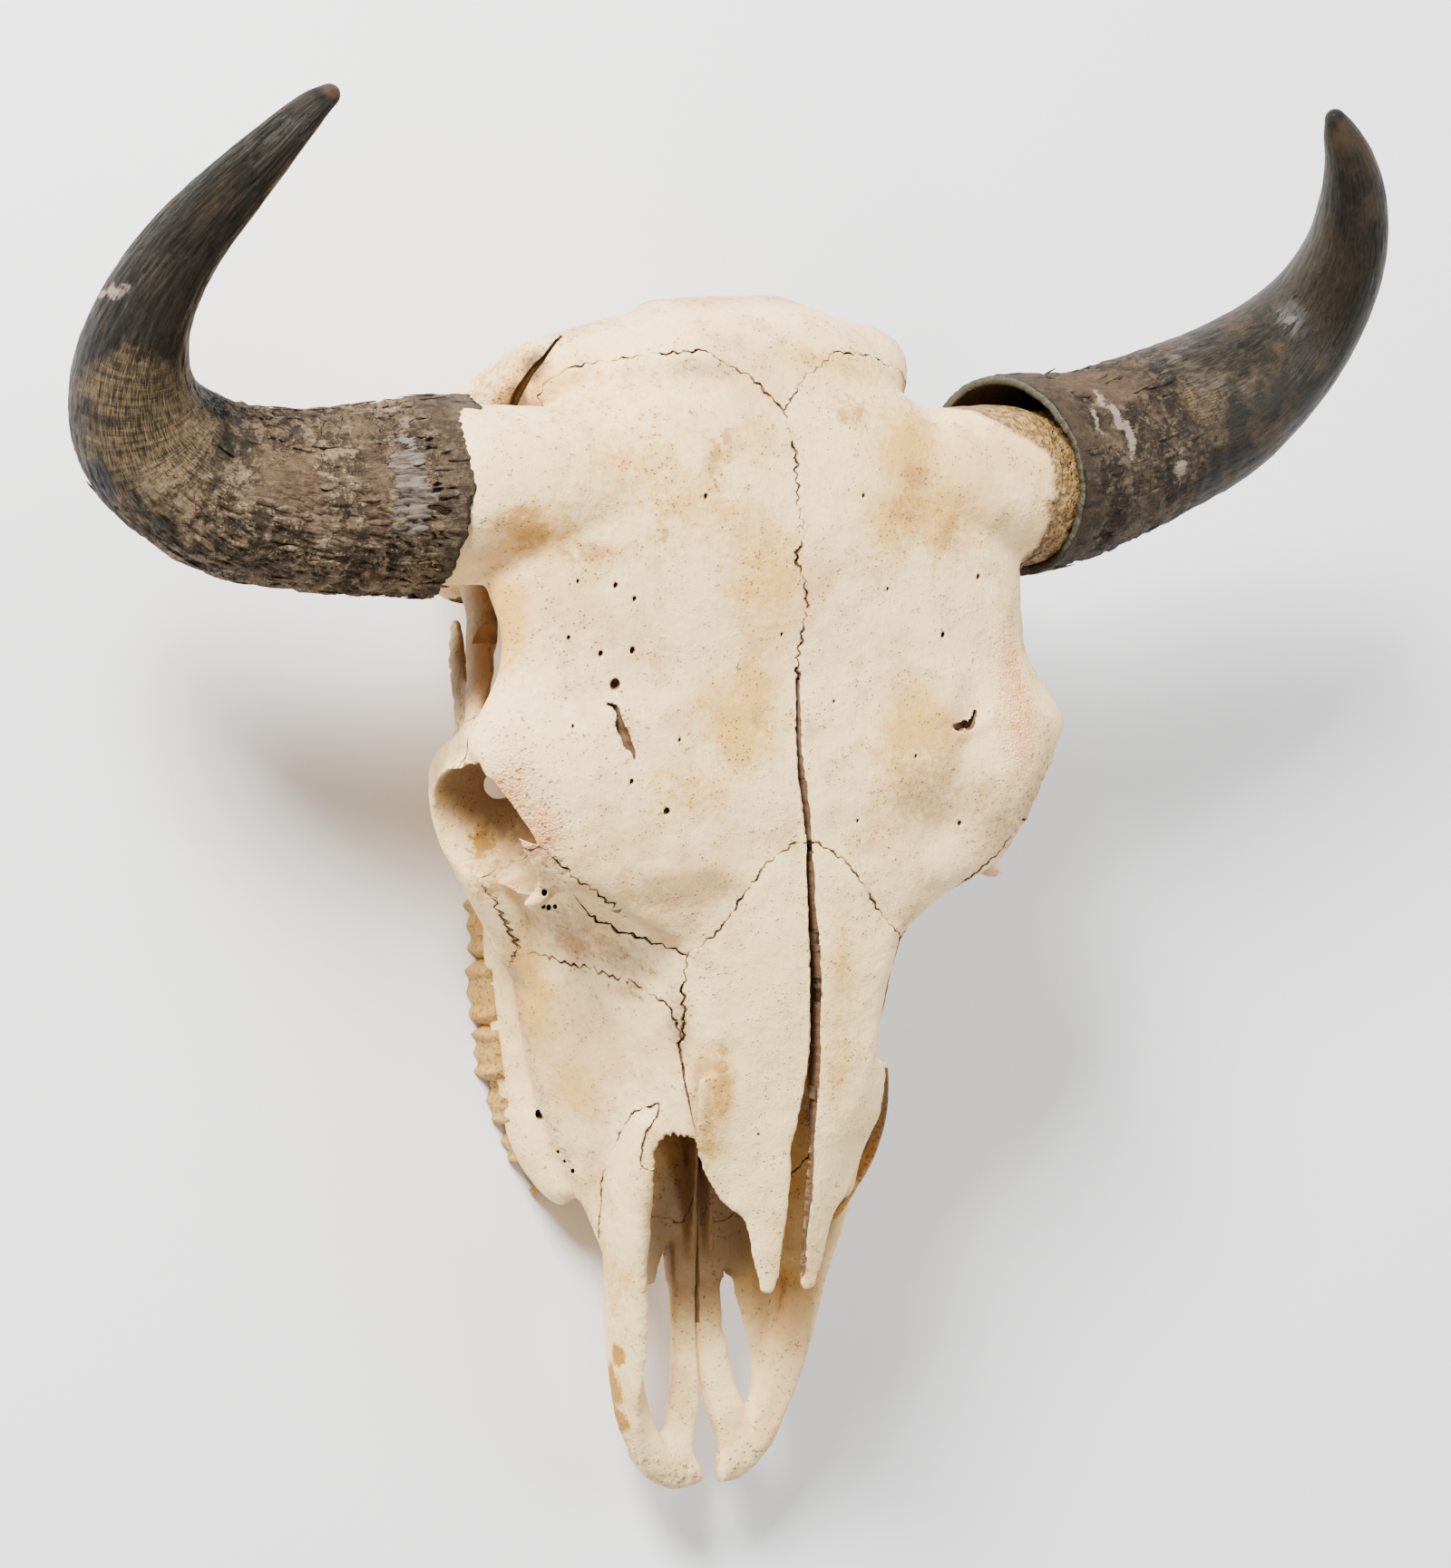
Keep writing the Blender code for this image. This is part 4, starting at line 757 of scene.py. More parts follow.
# How much of the lean and of the spread each place along y takes.
LEAN_ALONG = ((-300, 1.0), (-10, 0.7), (20, 0.3), (42, 0.5), (60, 1.0), (80, 0.8), (104, 0.9), (125, 0.5),
              (150, 0), (300, 0))
SPREAD_ALONG = ((-320, 0), (-245, -0.1), (-200, 0.4), (-165, 0.9), (-115, 0.9), (-88, 0.2), (-30, 0.5),
                (10, 0), (300, 0))


def uneven(body):
    """The head's unevenness: the brow leans to the left, the left muzzle has spread, the poll is askew."""
    places = points_of(body)
    x, y = places[:, 0].copy(), places[:, 1].copy()
    places[:, 0] += BROW_LEAN * np.minimum(1.0, (x / 150) ** 2) * reader(LEAN_ALONG)(y)
    places[:, 0] += MUZZLE_SPREAD * np.clip(x / 40, 0, 1) * reader(SPREAD_ALONG)(y)
    places[:, 1] += POLL_SKEW * places[:, 0] * np.clip((y - 200) / 30, 0, 1)
    return moved(body, places)


def sculpted(body):
    """Ridges, grooves and rough rims raised on the skin of the bone."""
    places = points_of(body)
    ways = normals_of(body)
    push = 0.8 * rough(places, 26, 1) + 0.38 * rough(places, 9, 2) + 0.16 * rough(places, 3.4, 3)
    for path, width, height, mirrored in RELIEF:
        for turn in mirrored:
            away = near_path(places, np.array(path, float) * (turn, 1, 1), 2.6 * width)
            push += height * np.exp(-(away / width) ** 2)
    grain = rough(places, 2.6, 4) + 0.6 * rough(places, 5.5, 5)
    porous = np.zeros(len(places))
    for path, width, height in RIMS:
        for turn in BOTH:
            away = near_path(places, np.array(path, float) * (turn, 1, 1), 2.6 * width)
            share = np.exp(-(away / width) ** 2)
            push += height * share * grain
            porous = np.maximum(porous, share)
    moved(body, places + ways * push[:, None])
    stored(body, "porous", porous)
    return body


def skull_skin(voxel):
    """All the bone in one body, hollowed and finished to the last rough rim."""
    body = forehead_plate()
    forms = [section_body("braincase", BRAINCASE), section_body("nuchal_plate", NUCHAL_PLATE)]
    forms += [section_body("face", FACE), section_body("palate", PALATE), limb("skull_base", BASE_LIMB)]
    for side, _ in SIDES:
        for name, stations in PAIRED_LIMBS.items():
            forms.append(limb(name, stations, side, (0, 1, 0) if name == "spur" else (0, 0, 1)))
        for name, stations in ONE_SIDED_LIMBS[side].items():
            forms.append(limb(name, stations, side))
        for name, (middle, half_sizes, turn) in PAIRED_MASSES.items():
            forms.append(mass(name, middle, half_sizes, turn, side))
    joined(body, forms)
    softened(body, COARSE_CELLS, COARSE_ROUNDS)
    hollows = [section_body("nasal_passage", NASAL_PASSAGE)]
    hollows += [limb("brain_opening", BRAIN_OPENING), limb("inner_nostrils", INNER_NOSTRILS)]
    for side, _ in SIDES:
        for name, stations in PAIRED_HOLLOWS.items():
            hollows.append(limb(name, stations, side, (0, 1, 0) if name == "eye_gap" else (0, 0, 1)))
        hollows.append(limb("palate_gap", PALATE_GAPS[side], side))
    joined(body, hollows, "DIFFERENCE")
    late = [nasal_bone(side) for side, _ in SIDES]
    for side, _ in SIDES:
        for name, stations in LATE_LIMBS.items():
            late.append(limb(name, stations, side))
    joined(body, late)
    softened(body, voxel, max(1, round(FINE_SMOOTHING / voxel ** 2)))
    under = [(y, floor_under(y)) for y in (NOSE_END, FAR)] + [(FAR, -FAR), (NOSE_END, -FAR)]
    joined(body, [prism("floor", under, -FAR, FAR, axis="x", wall=PLAIN)], "DIFFERENCE")
    uneven(body)
    sculpted(body)
    return vessel_holes(body)


def sutured(line, chance, reach=1.5, step=2.6):
    """The middle line with the wander of a suture where the halves still touch, as y, x and half the gap."""
    read_x = reader([(y, x) for y, x, _ in line])
    read_gap = reader([(y, gap) for y, _, gap in line])
    dense = []
    ys = np.arange(-320, 320, step)
    for k, y in enumerate(ys):
        gap = max(float(read_gap(y)), 0.0)
        tight = 1.0 if gap < 0.4 and y > 0 else 0.12
        swing = reach * tight * chance.uniform(0.2, 1.0) * (1 if k % 2 else -1)
        dense.append((y + step * 0.3 * chance.uniform(-1, 1), float(read_x(y)) + swing,
                      gap if gap > 0.3 else 0.02))
    return dense


def half_space(line, side, wall=CREVICE, top=80.0, bottom=-220.0):
    """Everything to one side of the middle line."""
    edge = [(x * side + gap, y) for y, x, gap in sorted(line)]
    return prism("half", edge + [(FAR, edge[-1][1]), (FAR, edge[0][1])], bottom, top, side, wall=wall)


def blocks_of(regions, seed):
    """The cutting blocks of a bone joined to one solid, with toothed sides."""
    chance = random.Random(seed)
    blocks = []
    for region in regions:
        outline = toothed(region["outline"], chance, region.get("reach", 0.7), region.get("step", 2.6))
        rest = {k: v for k, v in region.items() if k not in ("outline", "reach", "step")}
        blocks.append(prism("region", outline, **rest))
    return joined(blocks[0], blocks[1:]) if blocks[1:] else blocks[0]


def parted(body, regions, name, seed):
    """The part of the body inside the regions as a bone of its own; the body keeps the rest."""
    bone = copied(body, name)
    joined(bone, [blocks_of(regions, seed)], "INTERSECT")
    joined(body, [blocks_of(regions, seed)], "DIFFERENCE")
    return bone


def parted_bones(body):
    """Every bone taken out of the body, which keeps the rest as the braincase."""
    nodes = {}
    middle = sutured(MIDLINE, random.Random(11))
    muzzle = sutured(MUZZLE_GAP, random.Random(12), 0.3)

    def halves(word, regions, seed):
        """Both sides' bone taken out at once and then parted along the middle line."""
        both = [dict(region, side=side) for region in regions for side, _ in SIDES]
        pair = parted(body, both, "pair", seed)
        for side, hand in SIDES:
            nodes[word + hand] = copied(pair, word + hand)
            joined(nodes[word + hand], [half_space(middle, side)], "INTERSECT")
        bpy.data.objects.remove(pair)

    halves("nasal_", [dict(outline=NASAL_PLAN, low=-32, high=40, reach=0.8),
                      dict(outline=NASAL_FREE_PLAN, low=-37, high=40, reach=0.5)], 21)
    for side, hand in SIDES:
        name = "premaxilla_" + hand
        region = dict(outline=MUZZLE_SIDE, low=0.05, high=90, side=side, axis="x", reach=0.5)
        nodes[name] = parted(body, [region], name, 31 + side)
        joined(nodes[name], [half_space(muzzle, side, PLAIN)], "INTERSECT")
    halves("frontal_", [dict(outline=FRONTAL_PLAN, low=FRONTAL_DEPTH, high=60, reach=1.0),
                        dict(outline=HORN_PLAN, low=HORN_DEPTH, high=60, reach=0),
                        dict(outline=BROW_PLAN, low=BROW_DEPTH, high=0, reach=0)], 41)
    for side, hand in SIDES:
        for bone, outline, inner, reach in (("lacrimal_", TEAR_SIDE, 46, 1.6),
                                            ("zygomatic_", CHEEK_SIDE, 80, 0.8)):
            region = dict(outline=outline, low=inner, high=180, side=side, axis="x", reach=reach, step=2.2)
            nodes[bone + hand] = parted(body, [region], bone + hand, 51 + side)
    for side, hand in SIDES:
        half = ((0.1, MAXILLA_BACK), (200, MAXILLA_BACK), (200, -320), (0.1, -320))
        jaw = dict(outline=half, low=-220, high=60, side=side, reach=0)
        nodes["maxilla_" + hand] = parted(body, [jaw], "jaw", 61)
    nodes["cranium"] = body
    return nodes


def both(x, *rest):
    """The same place on both sides of the head."""
    return (x, *rest), (-x, *rest)


# Where the sutures stay shut, in the eye sockets, and where they gape: middles and half sizes.
WIDE = both(52, -86, -28, 8, 36, 16)
SHUT = both(104, 30, -60, 25, 34, 40) + both(100, 90, -80, 30, 40, 34)


def open_sutures(body, widest=0.55):
    """The cut walls of a bone drawn back a little, here more and there less, so that its sutures show."""
    data = body.data
    slots = numbers_of(data.polygons, "material_index")
    if not slots.any():
        stored(body, "seam", np.zeros(len(data.vertices)))
        return body
    ways = numbers_of(data.polygons, "normal", 3, np.float32)
    areas = numbers_of(data.polygons, "area", 1, np.float32)
    corners = numbers_of(data.loops, "vertex_index")
    face_of = np.repeat(np.arange(len(slots)), numbers_of(data.polygons, "loop_total"))
    cut = slots[face_of] > PLAIN
    pull = np.zeros((len(data.vertices), 3))
    np.add.at(pull, corners[cut], (ways * areas[:, None])[face_of[cut]])
    length = np.linalg.norm(pull, axis=1)
    on_wall = length > 0
    places = points_of(body)
    chosen = places[on_wall]
    width = np.clip(0.20 + 0.75 * rough(chosen, 11, 6) + 0.35 * rough(chosen, 3, 7), 0.02, widest)
    width = np.maximum(width * (1 - share_near(chosen, SHUT)), 0.01) + 0.6 * share_near(chosen, WIDE)
    places[on_wall] -= pull[on_wall] / length[on_wall][:, None] * width[:, None]
    seam = np.zeros(len(places))
    seam[on_wall] = np.clip(0.25 + width / widest, 0, 1) * (width > 0.02)
    stored(body, "seam", seam)
    return moved(body, places)


def tooth(x, y, breadth, length, lobes, short, side):
    """One cheek tooth: a ribbed crown with a worn, hollowed end, sunk into the jaw by its root."""
    count = 40 * lobes + 16
    turns = 2 * math.pi * np.arange(count) / count
    along = np.sign(np.sin(turns)) * np.abs(np.sin(turns)) ** 0.42 * length / 2
    across = np.sign(np.cos(turns)) * np.abs(np.cos(turns)) ** 0.48 * breadth / 2
    outer = np.cos(turns) > 0
    across += np.where(outer, 1.4 * np.cos(2 * math.pi * (lobes + 1) * along / length),
                       1.6 * np.cos(2 * math.pi * lobes * along / length))
    rings = []
    for share, swell, lift in ((0, 0.92, 0), (0.35, 0.98, 0), (0.55, 1.0, 0), (0.7, 1.01, 0),
                               (0.82, 1.0, 0), (0.92, 0.98, 0), (1.0, 0.95, 0), (1.0, 0.84, 0.5),
                               (1.0, 0.6, 1.7), (1.0, 0.35, 0.9)):
        place_y = y + along * swell
        floor = floor_under(place_y) + short + lift
        ring = np.stack([(x + across * swell) * side, place_y, TOOTH_ROOT + (floor - TOOTH_ROOT) * share],
                        axis=1)
        chip = rough(ring, 2.4, 8)
        ring[:, 2] += np.clip(chip, 0, 1) * 1.6 * (share > 0.95)
        ring[:, 0] += 0.45 * rough(ring * (1, 1, 0.25), 1.8, 9) + 1.1 * rough(ring * (1, 1, 0.5), 3.4, 19)
        rings.append(ring)
    return skin("tooth", rings, wall=THIRD)


def horn_core(word):
    """The porous bone core of a horn."""
    core = limb("core", CORE[word], sides=150, steps=90, wall=CORE_SLOT if word == "left" else PLAIN)
    places = points_of(core)
    ways = normals_of(core)
    pits = np.clip(rough(places, 4.2, 13) - 0.08, 0, 1) * 3.2 + np.clip(rough(places, 2.0, 14), 0, 1) * 0.8
    return moved(core, places - ways * np.minimum(pits, 1.9)[:, None])


def nodes_tree(name, kind, inputs, outputs):
    """An empty node group with named sockets, and its two ends."""
    tree = bpy.data.node_groups.new(name, kind)
    for label, socket, value in inputs:
        made = tree.interface.new_socket(label, in_out="INPUT", socket_type=socket)
        if value is not None:
            made.default_value = value
    for label, socket in outputs:
        tree.interface.new_socket(label, in_out="OUTPUT", socket_type=socket)
    return tree, tree.nodes.new("NodeGroupInput"), tree.nodes.new("NodeGroupOutput")


def feed(tree, socket, value):
    """The socket joined to another or given a plain value. A colour is given by three numbers."""
    if isinstance(value, bpy.types.NodeSocket):
        tree.links.new(value, socket)
    else:
        socket.default_value = (*value, 1) if socket.type == "RGBA" else value


def add(tree, kind, sockets=None, **settings):
    """A node with its settings, and its sockets joined to others or given plain values."""
    node = tree.nodes.new(kind)
    for key, value in settings.items():
        setattr(node, key, value)
    for key, value in (sockets or {}).items():
        feed(tree, node.inputs[key], value)
    return node


def result(tree, kind, sockets=None, **settings):
    """What a new node puts out first."""
    return add(tree, kind, sockets, **settings).outputs[0]


def sum_of(tree, operation, *values):
    """The result of one step of arithmetic."""
    return result(tree, "ShaderNodeMath", dict(enumerate(values)), operation=operation)


def times(tree, first, second):
    """Two values multiplied."""
    return sum_of(tree, "MULTIPLY", first, second)


def plus(tree, first, second):
    """Two values added."""
    return sum_of(tree, "ADD", first, second)


def scaled(tree, value, factor, start):
    """A value multiplied by a factor, with a start added."""
    return sum_of(tree, "MULTIPLY_ADD", value, factor, start)


def larger(tree, first, second):
    """The larger of two values."""
    return sum_of(tree, "MAXIMUM", first, second)


def way_plus(tree, first, second):
    """Two ways added."""
    return result(tree, "ShaderNodeVectorMath", {0: first, 1: second}, operation="ADD")


def way_times(tree, way, factor):
    """A way made longer or shorter by a factor."""
    return result(tree, "ShaderNodeVectorMath", {0: way, "Scale": factor}, operation="SCALE")


def upright(tree, value):
    """A way along the third axis, as long as the value."""
    return result(tree, "ShaderNodeCombineXYZ", {2: value})


def named(tree, name, data_type="FLOAT"):
    """What the points keep under a name."""
    return result(tree, "GeometryNodeInputNamedAttribute", {"Name": name}, data_type=data_type)


def noise_of(tree, place, scale, detail, roughness=0.5, twist=0.0, seed=None):
    """Random values over a place, other ones for each seed."""
    sockets = {"Vector": place, "Scale": scale, "Detail": detail, "Roughness": roughness,
               "Distortion": twist}
    if seed is None:
        return result(tree, "ShaderNodeTexNoise", sockets)
    return result(tree, "ShaderNodeTexNoise", {**sockets, "W": seed}, noise_dimensions="4D")


def spread(tree, value, low, high, to_low=0.0, to_high=1.0):
    """A value stretched from one range onto another, softly and held inside it."""
    return result(tree, "ShaderNodeMapRange", {0: value, 1: low, 2: high, 3: to_low, 4: to_high},
                  interpolation_type="SMOOTHSTEP")


def blended(tree, share, first, second, kind="MIX"):
    """Two colours mixed by a share."""
    node = add(tree, "ShaderNodeMix", {0: share, 6: first, 7: second}, data_type="RGBA", blend_type=kind)
    return node.outputs[2]


def speckle(tree, places, size, detail=2.0, roughness=0.5, lean=None):
    """Random values with lumps of this size in millimetres, drawn out along one way if lean is given."""
    at = result(tree, "ShaderNodeMapping", {0: places, "Scale": lean}) if lean else places
    return noise_of(tree, at, PER_METRE / size, detail, roughness)


def veins(tree, place, size, width=0.06):
    """Thin wandering lines where random lumps of this size in millimetres meet."""
    lumps = speckle(tree, place, size, 4.0, 0.62)
    away = sum_of(tree, "ABSOLUTE", sum_of(tree, "SUBTRACT", lumps, 0.5))
    return spread(tree, away, width, 0.0)


def pitted(tree, place, size, open_share):
    """Small round pits of about this spacing in millimetres, wide open where the share is high."""
    away = result(tree, "ShaderNodeTexVoronoi",
                  {"Vector": place, "Scale": PER_METRE / size, "Randomness": 1.0})
    return times(tree, spread(tree, away, 0.34, 0.12), open_share)


BONE_MARKS = ("Hollow", "Porous", "Tan", "Rose", "Amber", "Brown", "Seam", "Golden", "Veil", "Dusk")
HORN_MARKS = ("Along", "Bark", "Worn", "Pale", "Rust", "Tawny")
LOOK_RESULTS = (("Color", "NodeSocketColor"), ("Roughness", "NodeSocketFloat"),
                ("Height", "NodeSocketFloat"))


def number_sockets(labels):
    """Sockets for numbers that are none to start with."""
    return [(label, "NodeSocketFloat", 0.0) for label in labels]


def put_out(tree, end, *values):
    """The tree with these values joined to its end."""
    for i, value in enumerate(values):
        tree.links.new(value, end.inputs[i])
    return tree


def bone_pits(tree, place, porous, pores, patches, fine):
    """Pits of the bone: a few everywhere, more where it is porous, and many in a horn core."""
    broad = times(tree, spread(tree, fine, 0.40, 0.60), spread(tree, porous, 0.12, 0.7))
    specks = times(tree, spread(tree, patches, 0.42, 0.58), spread(tree, fine, 0.46, 0.58))
    pits = larger(tree, pitted(tree, place, 2.6, broad), pitted(tree, place, 2.1, specks))
    pits = larger(tree, pits, pitted(tree, place, 4.6, larger(tree, pores, broad)))
    return larger(tree, pits, pitted(tree, place, 2.2, pores))


def bone_group():
    """Colour, roughness and height of dry bone from its place, its stains and painted shade in its recesses.
    """
    tree, start, end = nodes_tree("Dry bone", "ShaderNodeTree", (
        ("Place", "NodeSocketVector", None), ("Ivory", "NodeSocketColor", (0.72, 0.64, 0.50, 1)),
        *number_sockets(BONE_MARKS + ("Mottle", "Pores"))), LOOK_RESULTS)
    (place, ivory, hollow, porous, tan, rose, amber, brown, seam, golden, veil, dusk, mottle,
     pores) = start.outputs[:14]
    pores = larger(tree, pores, golden)
    clouds = speckle(tree, place, 60, 4.0, 0.6)
    patches = speckle(tree, place, 15, 5.0, 0.65)
    fine = speckle(tree, place, 3.0, 4.0, 0.65)
    fibre = speckle(tree, place, 1.5, 3.0, 0.6, (1, 0.1, 1))
    streaks = speckle(tree, place, 8, 4.0, 0.65, (1, 0.14, 1))
    lines = veins(tree, place, 9)
    cloud = times(tree, spread(tree, clouds, 0.46, 0.62), mottle)
    colour = blended(tree, cloud, ivory, (0.72, 0.60, 0.48), "MULTIPLY")
    warm = times(tree, spread(tree, patches, 0.50, 0.70), times(tree, mottle, 0.45))
    colour = blended(tree, warm, colour, (0.62, 0.50, 0.40), "MULTIPLY")
    pale = times(tree, spread(tree, streaks, 0.50, 0.68), 0.5)
    colour = blended(tree, pale, colour, (1.04, 1.12, 1.30), "MULTIPLY")
    grey = times(tree, spread(tree, fine, 0.54, 0.72), times(tree, mottle, 0.55))
    colour = blended(tree, grey, colour, (0.42, 0.40, 0.42), "MULTIPLY")
    colour = blended(tree, spread(tree, fibre, 0.54, 0.76, 0.0, 0.24), colour, (0.46, 0.46, 0.50),
                     "MULTIPLY")
    core = blended(tree, spread(tree, fine, 0.40, 0.60), (0.13, 0.07, 0.018), (0.38, 0.225, 0.072))
    colour = blended(tree, golden, colour, core)
    torn = plus(tree, scaled(tree, patches, 2.0, -0.6), times(tree, lines, 0.4))
    soft = plus(tree, scaled(tree, clouds, 1.6, -0.35), scaled(tree, fine, 0.9, -0.45))
    # Veil, tan, rose and amber are the bone's own stains and seam its dark sutures; dusk and brown lay mostly
    # painted shade.
    for share, shade, strength, edges, low, high in (
            (veil, (0.67, 0.37, 0.07), 0.95, soft, 0.0, 0.60),
            (dusk, (0.38, 0.235, 0.095), 0.85, soft, 0.0, 0.62),
            (tan, (0.43, 0.215, 0.05), 0.80, torn, 0.10, 0.75),
            (rose, (0.92, 0.40, 0.13), 0.85, soft, 0.0, 0.55),
            (amber, (0.40, 0.185, 0.0), 1.0, torn, 0.06, 0.34),
            (seam, (0.12, 0.06, 0.025), 0.9, 1.0, 0.05, 0.85),
            (brown, (0.155, 0.085, 0.030), 0.92, 1.1, 0.05, 0.85)):
        edge = times(tree, share, edges)
        colour = blended(tree, spread(tree, edge, low, high, 0.0, strength), colour, shade)
    pits = bone_pits(tree, place, porous, pores, patches, fine)
    colour = blended(tree, spread(tree, porous, 0.2, 1.0, 0.0, 0.35), colour, (0.66, 0.66, 0.72), "MULTIPLY")
    colour = blended(tree, times(tree, pits, 0.6), colour, (0.20, 0.12, 0.06))
    # Painted shade: the recess measure, broken up by patches, darkens the colour to dark brown and, in the
    # deepest recesses, almost to black.
    recess_shade = plus(tree, hollow, scaled(tree, patches, 0.5, -0.25))
    colour = blended(tree, spread(tree, recess_shade, 0.40, 0.90, 0.0, 0.85), colour, (0.25, 0.145, 0.07))
    colour = blended(tree, spread(tree, recess_shade, 0.78, 1.05, 0.0, 0.85), colour, (0.055, 0.034, 0.02))
    rough_value = scaled(tree, fine, 0.25, 0.46)
    peel = spread(tree, speckle(tree, place, 1.2, 1.0, 0.5), 0.35, 0.65)
    height = plus(tree, times(tree, fine, 0.8), times(tree, fibre, 0.45))
    height = plus(tree, height, times(tree, times(tree, peel, rose), 0.8))
    height = plus(tree, height, times(tree, patches, 1.2))
    height = sum_of(tree, "SUBTRACT", height, times(tree, pits, 1.6))
    return put_out(tree, end, colour, rough_value, height)


def bark_colour(tree, place, along, shade, streak, blotch, flakes, fine):
    """The colours of bark, from its cracks and flakes to its dust, darker at the mouth of the sheath."""
    barked = blended(tree, spread(tree, blotch, 0.42, 0.62), (0.036, 0.021, 0.011), (0.145, 0.095, 0.050))
    barked = blended(tree, spread(tree, streak, 0.50, 0.68, 0.0, 0.5), barked, (0.13, 0.088, 0.055))
    barked = blended(tree, spread(tree, flakes, 0.50, 0.62, 0.0, 0.75), barked, (0.25, 0.175, 0.105))
    barked = blended(tree, spread(tree, fine, 0.55, 0.68, 0.0, 0.6), barked, (0.36, 0.265, 0.17))
    barked = blended(tree, spread(tree, fine, 0.45, 0.34, 0.0, 0.85), barked, (0.022, 0.014, 0.008))
    barked = blended(tree, veins(tree, place, 14, 0.022), barked, (0.016, 0.010, 0.006))
    barked = way_times(tree, barked, shade)
    return blended(tree, spread(tree, along, 26, 12, 0.0, 0.7), barked, (0.040, 0.025, 0.014))


def horn_group():
    """Colour, roughness and height of horn from the way along and round the sheath, its wear and painted
    sheen.
    """
    tree, start, end = nodes_tree("Horn sheath", "ShaderNodeTree", (
        ("Place", "NodeSocketVector", None), ("Round", "NodeSocketVector", None),
        *number_sockets(HORN_MARKS + ("Warmth", "Shade"))), LOOK_RESULTS)
    place, circle, along, bark, worn, pale, rust, tawny, warmth, shade = start.outputs[:10]
    run = upright(tree, times(tree, along, 0.02))
    ring = result(tree, "ShaderNodeVectorMath", {0: circle, 1: (9, 9, 0)}, operation="MULTIPLY")
    grain_at = way_plus(tree, run, ring)
    streak = noise_of(tree, grain_at, 2.2, 6.0, 0.7)
    thin = noise_of(tree, grain_at, 8.0, 4.0, 0.7)
    band_at = upright(tree, times(tree, along, 0.55))
    slight = result(tree, "ShaderNodeVectorMath", {0: circle, 1: (1.2, 1.2, 0)}, operation="MULTIPLY")
    band_at = way_plus(tree, band_at, slight)
    band = noise_of(tree, band_at, 1.0, 5.0, 0.65, 0.4)
    blotch = speckle(tree, place, 20, 5.0, 0.65)
    fine = speckle(tree, place, 2.0, 4.0, 0.7)
    flakes = speckle(tree, place, 6.5, 3.0, 0.6)
    ragged = scaled(tree, blotch, 1.6, -0.8)
    colour = blended(tree, spread(tree, streak, 0.40, 0.66), (0.0035, 0.0028, 0.0016),
                     (0.017, 0.0125, 0.007))
    tan = times(tree, spread(tree, thin, 0.52, 0.70), spread(tree, blotch, 0.35, 0.65))
    colour = blended(tree, times(tree, tan, 0.5), colour, (0.14, 0.090, 0.042))
    colour = blended(tree, times(tree, spread(tree, blotch, 0.46, 0.66), warmth), colour,
                     (0.11, 0.068, 0.030))
    hatched = scaled(tree, thin, 0.8, times(tree, band, 0.35))
    striped = blended(tree, spread(tree, hatched, 0.52, 0.66), (0.018, 0.013, 0.007), (0.19, 0.125, 0.056))
    colour = blended(tree, spread(tree, plus(tree, tawny, ragged), 0.3, 0.8, 0.0, 0.85), colour, striped)
    crust = times(tree, spread(tree, plus(tree, bark, ragged), 0.2, 0.8), 0.92)
    barked = bark_colour(tree, place, along, shade, streak, blotch, flakes, fine)
    colour = blended(tree, crust, colour, barked)
    colour = blended(tree, spread(tree, plus(tree, rust, ragged), 0.3, 0.9, 0.0, 0.7), colour,
                     (0.075, 0.044, 0.024))
    # Worn patches: slate lightened towards scraped grey, partly real wear and partly a painted sheen.
    slate = blended(tree, spread(tree, thin, 0.4, 0.65), (0.010, 0.008, 0.005), (0.036, 0.028, 0.019))
    scraped_and_sheen = blended(tree, spread(tree, streak, 0.40, 0.60), (0.045, 0.032, 0.022), (0.185, 0.145, 0.115))
    slate = blended(tree, times(tree, crust, 0.9), slate, scraped_and_sheen)
    ragged_edge = plus(tree, scaled(tree, streak, 2.4, -1.2), scaled(tree, flakes, 1.4, -0.7))
    smooth = spread(tree, plus(tree, worn, ragged_edge), 0.50, 0.72, 0.0, 0.9)
    colour = blended(tree, smooth, colour, slate)
    torn = plus(tree, scaled(tree, flakes, 2.2, -1.1), scaled(tree, thin, 1.4, -0.7))
    light = times(tree, spread(tree, plus(tree, pale, torn), 0.45, 0.8), spread(tree, pale, 0.0, 0.25))
    colour = blended(tree, times(tree, light, 0.85), colour, (0.27, 0.20, 0.155))
    gloss = scaled(tree, streak, 0.30, 0.30)
    gloss = result(tree, "ShaderNodeMix", {0: crust, 2: gloss, 3: 0.75})
    gloss = result(tree, "ShaderNodeMix", {0: smooth, 2: gloss, 3: 0.42})
    height = plus(tree, times(tree, streak, 0.9), times(tree, thin, 0.5))
    height = plus(tree, height, times(tree, plus(tree, fine, flakes), scaled(tree, crust, 0.9, 0.05)))
    height = plus(tree, height, times(tree, band, times(tree, tawny, 0.8)))
    height = times(tree, height, scaled(tree, smooth, -0.8, 1.0))
    return put_out(tree, end, colour, gloss, height)


